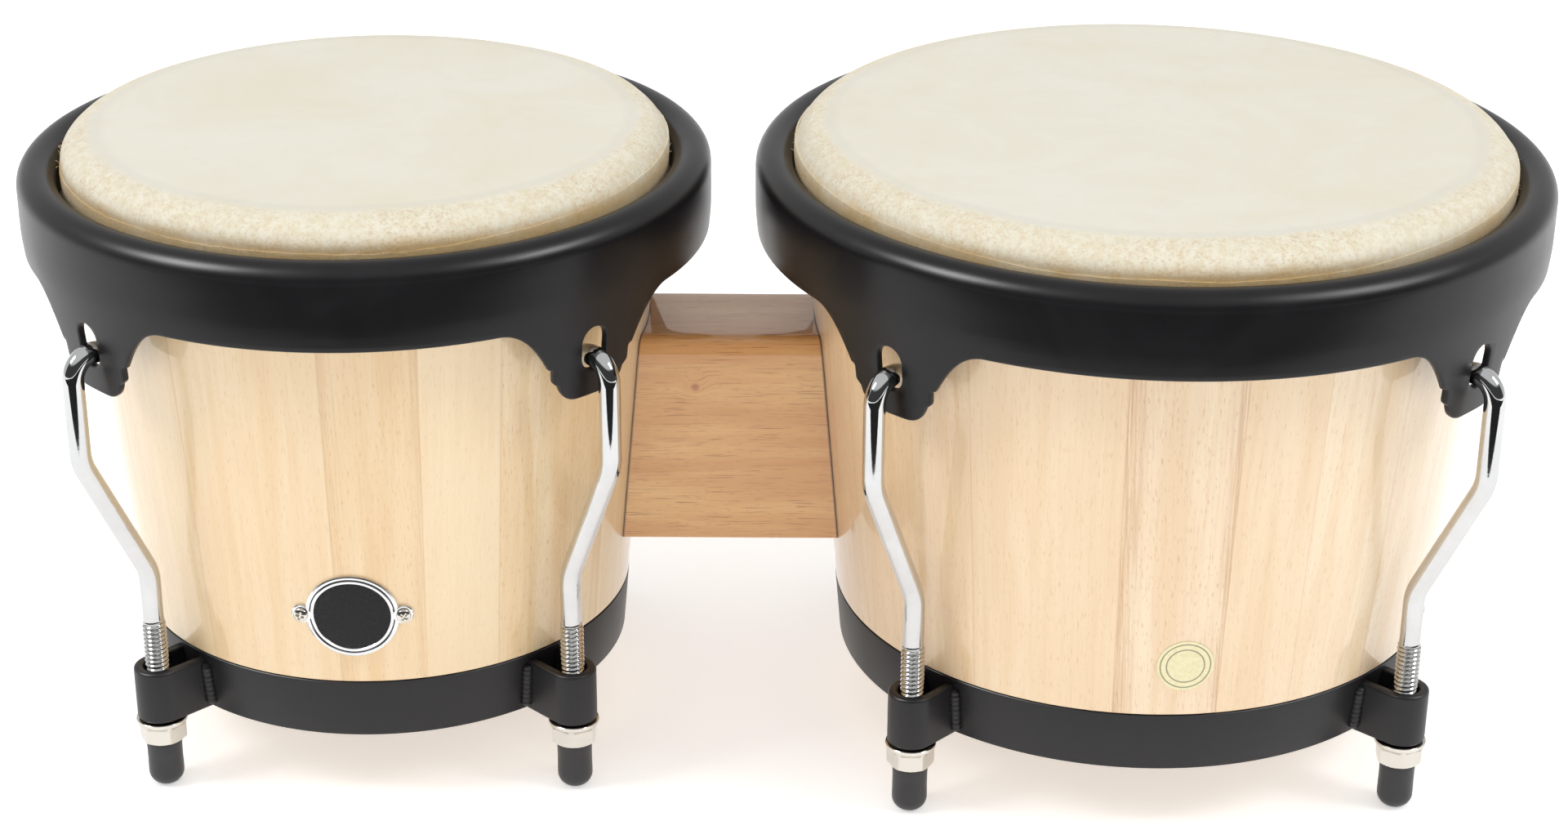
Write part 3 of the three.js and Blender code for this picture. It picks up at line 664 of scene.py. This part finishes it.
def rim_flat(drum, unroll):
    """The sheet's flat pattern as a filled curve: x along the drum's girth, y up the sheet."""
    radius = drum["rim"]
    girth = 2 * pi * radius
    stretch = sqrt(1 + RIM["taper"] ** 2)
    along = lambda angle, s: radius * (radians(angle) + pi + math.asin(s / radius))
    height = lambda z: (z - RIM_TIP) * stretch
    half = lug_curve()
    bottom = [(-4.0, height(RIM["skirt_z"]))]
    for angle in sorted(a + drum["turn"] for a in LUGS.values()):
        bottom += [(along(angle, -s), height(z)) for s, z in half]
        bottom += [(along(angle, s), height(z)) for s, z in reversed(half)]
    bottom.append((girth + 4.0, height(RIM["skirt_z"])))
    outlines = [bottom + [(girth + 4.0, unroll), (-4.0, unroll)]]
    slot, (slot_low, slot_high) = RIM["slot"], RIM["slot_z"]
    for angle in (a + drum["turn"] for a in LUGS.values()):
        upper = arc(0, slot_high - slot, slot, 0, 180, 14)
        lower = arc(0, slot_low + slot, slot, 180, 360, 14)
        outlines.append([(along(angle, s), height(z)) for s, z in upper + lower])
    curve = bpy.data.curves.new("flat_pattern", "CURVE")
    curve.dimensions = "2D"
    curve.fill_mode = "BOTH"
    curve.bevel_depth, curve.bevel_resolution, curve.offset = RIM["edge"], 2, -RIM["edge"]
    curve.extrude = RIM["sheet"] / 2 - RIM["edge"]
    for outline in outlines:
        spline = curve.splines.new("POLY")
        spline.points.add(len(outline) - 1)
        for point, (x, y) in zip(spline.points, outline):
            point.co = (x, y, 0, 1)
        spline.use_cyclic_u = True
    holder = link("flat_pattern", curve)
    bpy.context.view_layer.update()
    mesh = bpy.data.meshes.new_from_object(holder.evaluated_get(bpy.context.evaluated_depsgraph_get()))
    bpy.data.objects.remove(holder)
    bpy.data.curves.remove(curve)
    return mesh, girth


def build_rim(drum):
    """The flat pattern cut into strips, then each point carried to its place on the bent sheet."""
    stations = rim_profile(drum)
    mesh, girth = rim_flat(drum, stations[-1][0])
    bm = bmesh.new()
    bm.from_mesh(mesh)
    bpy.data.meshes.remove(mesh)
    bmesh.ops.remove_doubles(bm, verts=bm.verts, dist=1e-3)

    def cut(place, normal, outer=False, inner=False):
        everything = bm.verts[:] + bm.edges[:] + bm.faces[:]
        bmesh.ops.bisect_plane(bm, geom=everything, plane_co=place, plane_no=normal, dist=1e-4,
                               clear_outer=outer, clear_inner=inner)

    for length, _, _ in stations[1:-1]:
        cut((0, length, 0), (0, 1, 0))
    sectors = 180
    for k in range(1, sectors):
        cut((girth * k / sectors, 0, 0), (1, 0, 0))
    cut((0, 0, 0), (1, 0, 0), inner=True)
    cut((girth, 0, 0), (1, 0, 0), outer=True)
    normals = []
    for (_, r0, z0), (_, r1, z1) in zip(stations[:1] + stations, stations[1:] + stations[-1:]):
        normals.append(Vector((z1 - z0, r0 - r1)).normalized())
    for vert in bm.verts:
        x, y, t = vert.co
        i = 0
        while i < len(stations) - 2 and stations[i + 1][0] <= y:
            i += 1
        l0, r0, z0 = stations[i]
        l1, r1, z1 = stations[i + 1]
        share = (y - l0) / (l1 - l0)
        out = normals[i].lerp(normals[i + 1], min(max(share, 0), 1))
        r = r0 + (r1 - r0) * share + out.x * t
        z = z0 + (z1 - z0) * share + out.y * t
        a = x / drum["rim"] - pi
        vert.co = polar(r, a, z, drum["x"])
    verts = [tuple(v.co) for v in bm.verts]
    bm.verts.index_update()
    faces = [tuple(v.index for v in f.verts) for f in bm.faces]
    bm.free()
    shape = (verts, faces)
    drum_piece(drum, "pressed_rim", shape, RIM_BLACK, "black_steel", "rim", "rim_set", weld=2e-5)


# ---- flesh hoop and rawhide head

def build_hoop(drum):
    inner = head_r(drum) - SKIN_THICK + 0.4
    low, high = HOOP_Z
    corners = [(inner, low), (drum["hoop"], low), (drum["hoop"], high), (inner, high)]
    shape = lathe(rounded(corners, 1.6, 5), 192, drum["x"])
    drum_piece(drum, "steel_flesh_hoop", shape, STEEL, "hoop_steel", "flesh_hoop", "rim_set")


def build_skin(drum):
    """Flat over the bearing edge, softly rounded, then down the shell and out over the hoop."""
    outer = head_r(drum)
    lap, lap_z, lap_r = drum["hoop"] + GAP, HOOP_Z[1] + GAP, 0.6
    skirt = span(f"{drum['name']}_head_skin", 2)[0]
    shoulder = EDGE_R + GAP
    centre = outer - SKIN_THICK - shoulder
    crest, high = centre - EASE, shoulder + SKIN_THICK
    outside = [(crest * k / 40, HEAD_Z) for k in range(41)]
    rounding = arc(crest, SHOULDER_Z, high, 90, 0, 18)[1:]
    outside += [(crest + (r - crest) * (high + EASE) / high, z) for r, z in rounding]
    outside += [(outer, z) for z in (160, 157, 154)] + [(outer, lap_z + SKIN_THICK + 0.4)]
    outside += [(outer + 0.4, lap_z + SKIN_THICK), (lap + 0.2, lap_z + SKIN_THICK)]
    outside += arc(lap - lap_r, lap_z - lap_r, lap_r + SKIN_THICK, 80, 0, 5)
    outside += [(lap + SKIN_THICK, skirt + 0.3), (lap + SKIN_THICK - 0.3, skirt)]
    inside = [(lap, skirt), (lap, lap_z - 0.5), (lap - 0.5, lap_z), (outer - SKIN_THICK, lap_z)]
    inside += [(outer - SKIN_THICK, z) for z in (155, 160)]
    inside += arc(centre, SHOULDER_Z, shoulder, 0, 90, 14)
    inside += [(centre * k / 6, HEAD_Z - SKIN_THICK) for k in range(5, -1, -1)]
    seed = drum["shell"]

    def uneven(a, r, z):
        """Draws the outer surface in a little and lets it wander, and leaves the inner one alone."""
        p = Vector((r * cos(a), r * sin(a), z))
        depth = min(max((HEAD_Z - z) / 6, 0), 1)
        broad = noise.noise(p * 0.035 + Vector((seed, 0, 0)))
        fine = noise.noise(p * 0.16 + Vector((0, seed, 0)))
        if z < 153 or z < HEAD_Z - SKIN_THICK - 0.01 and r < outer - 0.5 and depth < 0.3:
            return r, z
        if r < crest + 1:
            return r, z - 0.10 + 0.09 * broad
        return r - 0.12 + depth * (0.16 * broad + 0.10 * fine), z - 0.10 * (1 - depth) + 0.05 * broad

    verts, faces = lathe(outside + inside, 240, drum["x"], change=uneven)
    name = drum["name"]
    mat = rawhide(drum, f"{name}_rawhide")
    skin = make(f"{name}_rawhide_head", verts, faces, mat, None, "rawhide", [f"{name}_head_skin"],
                smooth=60)
    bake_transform(skin)
    build_cut_edge(drum, mat)


def build_cut_edge(drum, mat):
    """The trimmed edge of the skin, turned up outside the wall, with a few loose fibres."""
    outer, seed = head_r(drum), drum["shell"] * 2
    sides, heights, low, high = 320, 6, 155.0, 162.2

    def wander(a, waves, start):
        return noise.noise(Vector((cos(a) * waves, sin(a) * waves, start)))

    verts = []
    for i in range(sides):
        a = 2 * pi * i / sides
        ragged = wander(a, 3, seed) + 0.5 * wander(a, 17, seed)
        lift = drum["cut_edge"][1] if cos(a) > 0 else drum["cut_edge"][0]
        top = high + lift * cos(a) ** 2 + 0.5 * ragged
        thick = 0.42 + 0.10 * wander(a, 6, seed + 5)
        walls = [low + (top - low) * k / (heights - 1) for k in range(heights)]
        flare = [thick * (0.45 + 0.55 * min(max((z - 157.5) / 4, 0), 1)) for z in walls]
        ring = [(outer - 0.35, z) for z in reversed(walls)]
        ring += [(outer - 0.1 + f, z) for f, z in zip(flare, walls)]
        ring[-1] = (ring[-1][0] - 0.16, ring[-1][1] + 0.02)
        verts += [polar(r, a, z, drum["x"]) for r, z in ring]
    parts = [(verts, grid_faces(sides, 2 * heights, True, True))]
    luck = random.Random(int(seed))
    for k in range(46):
        a = luck.choice((pi, 0, -pi / 2)) + luck.gauss(0, 0.42)
        outward, sideways = Vector((cos(a), sin(a), 0)), Vector((-sin(a), cos(a), 0))
        base = outward * (outer + 0.1) + Vector((drum["x"], 0, 161.6 + luck.random()))
        reach, swing = luck.uniform(0.7, 2.4), luck.uniform(-1.6, 1.6)
        tip = outward * reach * 0.55 + Vector((0, 0, luck.uniform(0.2, 1.7)))
        path = []
        for step in range(7):
            t = step / 6
            curl = sideways * swing * t * t + Vector((0, 0, 0.35 * sin(t * pi)))
            path.append(base + tip * t + curl)
        parts.append(tube(path, sideways.cross(tip.normalized()).normalized(), 0.055, 5, 1))
    name = f"{drum['name']}_rawhide_cut_edge"
    make(name, *join(*parts), mat, ROOT, "rawhide", [], smooth=50, weld=None)


# ---- rods, nuts and caps

def rod_path(drum):
    """The rod's centreline as (radius, z): straight, swayed out, straight, hooked in."""
    low, high, sway, bend = pick(ROD, "low", "high", "sway", "bend")
    rod, hook = drum["rod"], drum["hook"]
    lean = atan2(hook - rod, high - low)
    run = sway * tan(lean / 2)
    degrees = math.degrees(lean)
    points = [(rod, ROD["start"])]
    points += arc(rod + sway, low - run, sway, 180, 180 - degrees, 12)
    points += arc(hook - sway, high + run, sway, -degrees, 0, 12)
    points += arc(hook - bend, ROD["hook_z"], bend, 0, ROD["tip"], 26)
    return points


def rod_thread(drum):
    """Rolled thread: crests stand proud of the shank and run out at its top."""
    low, high = THREAD_Z
    around_steps, per_turn = 24, 10
    rows = int((high - low) / PITCH * per_turn)
    verts, marks = [], []
    for i in range(rows + 1):
        z = low + (high - low) * i / rows
        fade = min(max((high - z) / 1.6, 0), 1)
        for k in range(around_steps):
            a = 2 * pi * k / around_steps
            t = (z / PITCH - a / (2 * pi)) % 1
            wedge = 1 - abs(2 * t - 1)
            wedge = wedge * wedge * (3 - 2 * wedge)
            marks.append(1 if wedge < 0.28 and fade > 0.5 else 0)
            r = SHANK + fade * (ROOT_R + (CREST - ROOT_R) * wedge - SHANK)
            verts.append(polar(r, a, z, drum["rod"]))
    return (verts, sleeve_faces(rows + 1, around_steps)), marks[:rows * around_steps] + [0, 0]


def build_rod(drum, lug, angle):
    path = [(r, 0, z) for r, z in rod_path(drum)]
    shank = tube(path, Vector((0, 1, 0)), SHANK, 28, 4)
    end = [(drum["rod"], 0, z) for z in (4.6, 9.0, 14.2)]
    lower = tube(end, Vector((0, 1, 0)), ROOT_R, 20, 3)
    thread, marks = rod_thread(drum)
    shape = moved(join(shank, thread, lower), around(angle, drum["x"]))
    roots = [0] * len(shank[1]) + marks + [0] * len(lower[1])
    mats = [CHROME, THREAD_ROOT]
    drum_piece(drum, f"hooked_rod_{lug}", shape, mats, "rod_chrome", f"rod_{lug}", "rim_set", smooth=40,
               indices=roots)


def hex_piece(flats, low, high, bore, flange=None):
    """A hexagon about +Z with the round chamfers of a turned nut, and a bore if there is one. A flange
    stands above it as (radius, lower z, upper z), and takes the place of the upper chamfer."""
    steps, rows, lip = 144, 26, 0.3 if bore else 0
    corner, shy = flats / sqrt(3), flats / 2 - 0.15
    shares = [0.35 * k / rows + 0.65 * (0.5 - 0.5 * cos(pi * k / rows)) for k in range(rows + 1)]
    stations = [low + (high - low) * share for share in shares]
    verts = []
    for k in range(steps):
        a = 2 * pi * k / steps
        side_r = (flats / 2) / cos((a % (pi / 3)) - pi / 6)
        ring = [(bore, low + lip), (bore + lip, low)]
        for z in stations:
            cone = shy + (z - low) / tan(radians(30))
            if not flange:
                cone = min(cone, shy + (high - z) / tan(radians(30)))
            ring.append((min(side_r, cone, corner - 0.06), z))
        if flange:
            flange_r, under, over = flange
            ring.append((max(ring[-1][0], flats / 2), high + 0.01))
            corners = [(flats / 2 - 0.5, high), (flange_r, under), (flange_r, over), (bore, over)]
            ring += rounded(corners, [0, 0.25, 0.35, 0], 3)[1:-1]
            ring += [(bore + lip, over), (bore, over - lip)]
        else:
            ring += [(bore + lip, high), (bore, high - lip)]
        verts += [polar(r, a, z) for r, z in ring]
    return verts, grid_faces(steps, len(ring), True, True)


def build_nut(drum, lug, angle):
    shape = hex_piece(NUT["flats"], *NUT["z"], NUT["bore"], NUT["flange"])
    placed = moved(shape, at_rod(drum, angle) @ Matrix.Rotation(radians(NUT["turn"]), 4, "Z"))
    drum_piece(drum, f"flange_nut_{lug}", placed, NICKEL, "nut_nickel", f"nut_{lug}", f"nut_body_{lug}",
               smooth=24)


def build_cap(drum, lug, angle):
    """A dipped vinyl cap: domed tip, faint waist and a rolled lip."""
    r, dome, lip, bore, floor = pick(CAP, "radius", "dome", "lip", "bore", "floor")
    top = span("macho_cap_front_left", 2)[1]
    outside = [(0.0, 0.0)] + arc(r - dome, dome, dome, -90, 0, 14)
    outside += [(r, 5.2), (r - 0.06, 8.0), (r - 0.05, 10.5), (r, 12.2)]
    outside += arc(r - lip, top - lip, lip, 0, 180, 8)
    inside = [(r - 0.9, top - 0.8), (bore, 12.0), (bore, floor), (0.0, floor)]
    placed = moved(lathe(outside + inside, 40), at_rod(drum, angle))
    drum_piece(drum, f"vinyl_cap_{lug}", placed, VINYL, "black_vinyl", f"cap_{lug}", "rim_set")


# ---- centre block and through bolts

def build_block():
    """A long block with eased edges, its ends hollowed to the two shells."""
    (low_z, high_z), (low_y, high_y) = span("centre_block", 2), span("centre_block", 1)
    corners = [(low_y, low_z), (high_y, low_z), (high_y, high_z), (low_y, high_z)]
    section = rounded(corners, [1.2, 1.2, 3.2, 3.2], 7)
    dense = []
    for i, (y, z) in enumerate(section):
        y1, z1 = section[(i + 1) % len(section)]
        pieces = max(1, int(math.dist((y, z), (y1, z1)) / 3))
        dense += [(y + (y1 - y) * k / pieces, z + (z1 - z) * k / pieces) for k in range(pieces)]
    macho, hembra = DRUMS["macho"], DRUMS["hembra"]
    columns, clear = 30, 0.12
    verts = []
    for y, z in dense:
        left = macho["x"] + sqrt((shell_r(macho, z) + clear) ** 2 - y * y)
        right = hembra["x"] - sqrt((shell_r(hembra, z) + clear) ** 2 - y * y)
        verts += [(left + (right - left) * k / (columns - 1), y, z) for k in range(columns)]
    rows = len(dense)
    faces = grid_faces(rows, columns, True, False)
    faces.append(tuple(k * columns for k in range(rows)))
    faces.append(tuple(k * columns + columns - 1 for k in range(rows)))
    make("varnished_centre_block", verts, faces, BLOCK_WOOD, ROOT, "block_wood", ["centre_block"])


def lengthwise(x, z):
    """From a piece about +Z to one about +X, starting at x, at a height."""
    return Matrix.Translation((x, 0, z)) @ Matrix.Rotation(radians(90), 4, "Y")


def zinc_piece(name, shape, node, smooth=24):
    make(name, *shape, ZINC, ROOT, "zinc_steel", [node], smooth=smooth)


def build_bolts():
    for level in ("lower", "upper"):
        z = middle(f"block_bolt_{level}", 2)
        head_x, end_x = span(f"block_bolt_{level}", 0)
        head = moved(hex_piece(BOLT["flats"], 0, BOLT["head"], 0), lengthwise(head_x, z))
        line = [(x, 0, z) for x in (head_x + 3.9, end_x - 30, end_x - 1.5)]
        shank = tube(line, Vector((0, 1, 0)), BOLT["radius"], 24)
        zinc_piece(f"through_bolt_{level}", join(head, shank), f"block_bolt_{level}")
        low, high = span(f"block_nut_{level}", 0)
        nut = moved(hex_piece(BOLT["flats"], 0, high - low, BOLT["radius"] + 0.1), lengthwise(low, z))
        zinc_piece(f"through_bolt_nut_{level}", nut, f"block_nut_{level}")
        for name in DRUMS:
            node = f"{name}_washer_{level}"
            low, high = span(node, 0)
            hole, rim = BOLT["hole"], BOLT["washer"]
            corners = [(hole, 0), (rim, 0), (rim, high - low), (hole, high - low)]
            washer = moved(lathe(rounded(corners, 0.35, 3), 64), lengthwise(low, z))
            zinc_piece(f"{name}_flat_washer_{level}", washer, node, smooth=32)


# ---- badge, its screws and the sticker

BADGE = dict(angle=-90.35, z=58.2, plate=12.1, ear_x=13.1, ear=2.7)
STICKER = dict(angle=-86.4, z=52.7, radius=7.4, top=0.22)
SCREW = dict(radius=1.95, high=1.3, shank=1.0, depth=7.6, seat=0.98)


def on_shell(drum, angle, height, u, v, lift):
    """A point u sideways and v up from a spot on the shell, lifted off its surface."""
    z = height + v
    r = shell_r(drum, z) + lift
    a = radians(angle) + u / shell_r(drum, height)
    return polar(r, a, z, drum["x"])


def disc_on_shell(drum, angle, height, profile, at=(0, 0), sides=96):
    """A turned (radius, lift) section bent to the shell."""
    verts = []
    for k in range(sides):
        a = 2 * pi * k / sides
        verts += [on_shell(drum, angle, height, at[0] + r * cos(a), at[1] + r * sin(a), lift)
                  for r, lift in profile]
    return verts, grid_faces(sides, len(profile), True, True)


def build_badge():
    """A ring with two ears, a plain black centre and a black groove, all bent to the shell."""
    angle, height, plate, ear = pick(BADGE, "angle", "z", "plate", "ear")

    def disc(profile, at=(0, 0), sides=96):
        return disc_on_shell(DRUMS["macho"], angle, height, profile, at, sides)

    rings = [(0, 0.2), (plate - 0.1, 0.2), (plate, 0.35), (plate, 0.8), (plate - 0.35, 1.0)]
    rings += [(plate - 0.85, 1.0), (plate - 1.05, 0.82), (plate - 1.3, 0.82), (plate - 1.5, 0.95)]
    rings += [(plate - 2.1, 0.95), (plate - 2.3, 0.7), (0, 0.7)]
    lobe = [(0, 0.2), (2.6, 0.2), (ear, 0.35), (ear, 0.75), (2.45, 0.95), (0, 0.95)]
    ears = [disc(lobe, (side * BADGE["ear_x"], 0), 40) for side in (-1, 1)]
    silver = join(disc(rings), *ears)
    make("badge_ring_and_ears", *silver, SILVER, ROOT, "badge_metal", ["badge_plate"], smooth=28)
    centre = [(0, 0.72), (plate - 2.25, 0.72), (plate - 2.25, 0.84), (plate - 2.5, 0.88), (0, 0.88)]
    groove = [(plate - 1.33, 0.8), (plate - 1.02, 0.8), (plate - 1.05, 0.86), (plate - 1.30, 0.86)]
    for name, profile in (("centre", centre), ("groove", groove)):
        make(f"badge_black_{name}", *disc(profile), badge_black(), ROOT, "badge_metal", [])


def screw_head():
    """A round head with a cross recess, about +X, with its underside at X = 0."""
    radius, high, shank, depth = pick(SCREW, "radius", "high", "shank", "depth")
    steps, rows = 72, 26
    verts = []
    for k in range(steps):
        a = 2 * pi * k / steps
        for j in range(rows + 1):
            r = radius * j / rows
            dome = 0.28 * high + 0.72 * high * sqrt(max(0.0, 1 - (r / radius) ** 2))
            y, z = abs(r * cos(a)), abs(r * sin(a))
            arm = min(y, z)
            length = max(y, z)
            inside = min(max((0.34 - arm) / 0.10, 0), 1) * min(max((1.18 - length) / 0.22, 0), 1)
            dome -= 0.62 * inside * inside * (3 - 2 * inside) * min(1.0, 1.25 - 0.45 * length)
            verts.append((dome, r * cos(a), r * sin(a)))
        verts.append((0.0, radius * cos(a), radius * sin(a)))
        verts.append((-depth, shank * cos(a), shank * sin(a)))
        verts.append((-depth - 0.1, 0.0, 0.0))
    return verts, grid_faces(steps, rows + 4, True, True)


def build_badge_screws():
    macho = DRUMS["macho"]
    surface = shell_r(macho, BADGE["z"])
    for name, side in (("left", -1), ("right", 1)):
        turn = math.degrees(math.asin(side * BADGE["ear_x"] / surface)) + BADGE["angle"]
        spin = Matrix.Rotation(radians(20 + 34 * side), 4, "X")
        place = around(turn, macho["x"]) @ Matrix.Translation((surface + SCREW["seat"], 0, BADGE["z"])) @ spin
        make(f"badge_cross_screw_{name}", *moved(screw_head(), place), NICKEL, ROOT, "nut_nickel",
             [f"badge_screw_{name}"], smooth=40)


def build_sticker():
    hembra = DRUMS["hembra"]
    angle, height, radius, top = pick(STICKER, "angle", "z", "radius", "top")
    profile = [(0, 0.06), (radius, 0.06), (radius, 0.16), (radius - 0.08, top)]
    profile += [(radius * k / 8, top) for k in range(7, -1, -1)]
    centre = on_shell(hembra, angle, height, 0, 0, top)
    mat = sticker(tuple(c * MM for c in centre))
    disc = disc_on_shell(hembra, angle, height, profile, sides=72)
    make("round_paper_sticker", *disc, mat, ROOT, "label_paper", ["round_label"])


# ---- building it all

for drum in DRUMS.values():
    build_shell(drum)
    build_ring(drum)
    build_hoop(drum)
    build_skin(drum)
    build_rim(drum)
    for lug, angle in LUGS.items():
        build_rod(drum, lug, angle + drum["turn"])
        build_nut(drum, lug, angle + drum["turn"])
        build_cap(drum, lug, angle + drum["turn"])
build_block()
build_bolts()
build_badge()
build_badge_screws()
build_sticker()


# ---- floor, light and camera

WORLD_BRIGHT, WORLD_GAP = 0.70, 0.06
AIM = (0, 0, 0.09)
SOFTBOX = dict(x=1.25, y=-0.45, z=1.35, width=0.5, height=0.6)
FLAG = dict(half=1.1, front=-1.9, back=-0.29, height=0.004)


def card(name, half, front, back, height, mat):
    """A flat sheet of the studio, facing up."""
    mesh = bpy.data.meshes.new(name)
    corners = [(-half, front, height), (half, front, height), (half, back, height), (-half, back, height)]
    mesh.from_pydata(corners, [], [(0, 1, 2, 3)])
    mesh.materials.append(mat)
    return link(name, mesh)


def build_floor():
    """White paper that gives off a little light, so that it reads white under soft lamps."""
    half = 6.0
    s = Shader("studio_white", Roughness=0.9, Specular_IOR_Level=0.0, Emission_Color=(1, 1, 1, 1),
               Emission_Strength=0.45)
    tones = (0.965, 0.965, 0.965, 1), (0.975, 0.975, 0.975, 1)
    s.set("Base Color", s.mix(s.ramp(s.noise(s.place, 3.0), 0.3, 0.7), *tones))
    floor = card("studio_floor", half, -half, half, 0, s.mat)


def build_flag():
    """A dark card flat on the floor in front of the drums, which only shows in gloss."""
    s = Shader("flag_black", Roughness=1.0, Specular_IOR_Level=0.0)
    s.set("Base Color", s.mix(s.noise(s.place, 6.0), (0.02, 0.02, 0.02, 1), (0.03, 0.03, 0.03, 1)))
    flag = card("dark_flag", **FLAG, mat=s.mat)
    flag.visible_camera = flag.visible_diffuse = flag.visible_shadow = flag.visible_transmission = False


def soft_light(name, place, width, height, watts, mirrored=True, lights=True):
    """An area light. It may light the drums without showing in their gloss, or the other way round."""
    light = bpy.data.lights.new(name, "AREA")
    light.shape, light.size, light.size_y = "RECTANGLE", width, height
    light.energy = watts
    lamp = link(name, light)
    lamp.visible_glossy = mirrored
    lamp.visible_diffuse = lights
    lamp.location = place
    lamp.rotation_euler = (Vector(AIM) - Vector(place)).to_track_quat("-Z", "Y").to_euler()


def build_world():
    """A white studio with a dark gap in front, so that gloss shows white at the sides only."""
    world = bpy.data.worlds.new("studio")
    world.use_nodes = True
    n = Nodes(world.node_tree)
    x, y, z = n.split(n.add("ShaderNodeTexCoord").outputs["Generated"])
    facing = n.math("DIVIDE", n.times(y, -1.0), n.math("MAXIMUM", n.length(x, y), 0.001))
    front = n.math("MULTIPLY", n.minus(facing, 0.12), 14.0, clamp=True)
    low = n.math("MULTIPLY", n.minus(0.62, z), 9.0, clamp=True)
    level = n.minus(WORLD_BRIGHT, n.times(n.times(front, low), WORLD_BRIGHT - WORLD_GAP))
    background = n.tree.nodes["Background"]
    n.tree.links.new(level, background.inputs["Strength"])
    background.inputs["Color"].default_value = (1, 1, 1, 1)
    bpy.context.scene.world = world


def build_lights():
    """A softbox each side, a second pair in the same places that only shows in gloss, and a fill."""
    width, height = SOFTBOX["width"], SOFTBOX["height"]
    for kind, watts, lights in (("softbox", (8, 7.5), True), ("sheen", (36, 24), False)):
        for name, side, power in zip(("left", "right"), (-1, 1), watts):
            place = (side * SOFTBOX["x"], SOFTBOX["y"], SOFTBOX["z"])
            soft_light(f"{kind}_{name}", place, width, height, power, lights=lights)
    soft_light("front_fill", (0, -1.9, 0.62), 2.6, 1.0, 9.7, mirrored=False)


def build_camera():
    """The place and turn of the photographing camera, solved from the rims, shells and block."""
    place = Vector((-0.0015, -0.7631, 0.4278))
    yaw, pitch, roll = radians(0.09), radians(24.22), radians(-0.37)
    forward = Vector((sin(yaw) * cos(pitch), cos(yaw) * cos(pitch), -sin(pitch)))
    right = Vector((cos(yaw), -sin(yaw), 0))
    down = forward.cross(right)
    across = right * cos(roll) + down * sin(roll)
    drop = down * cos(roll) - right * sin(roll)
    data = bpy.data.cameras.new("camera")
    data.sensor_width, data.lens = 36.0, 69.64
    data.clip_start, data.clip_end = 0.01, 50
    camera = link("camera", data)
    camera.matrix_world = Matrix.Translation(place) @ Matrix((across, -drop, -forward)).transposed().to_4x4()
    bpy.context.scene.camera = camera
    bpy.context.scene.view_settings.view_transform = "Standard"


build_floor()
build_flag()
build_world()
build_lights()
build_camera()
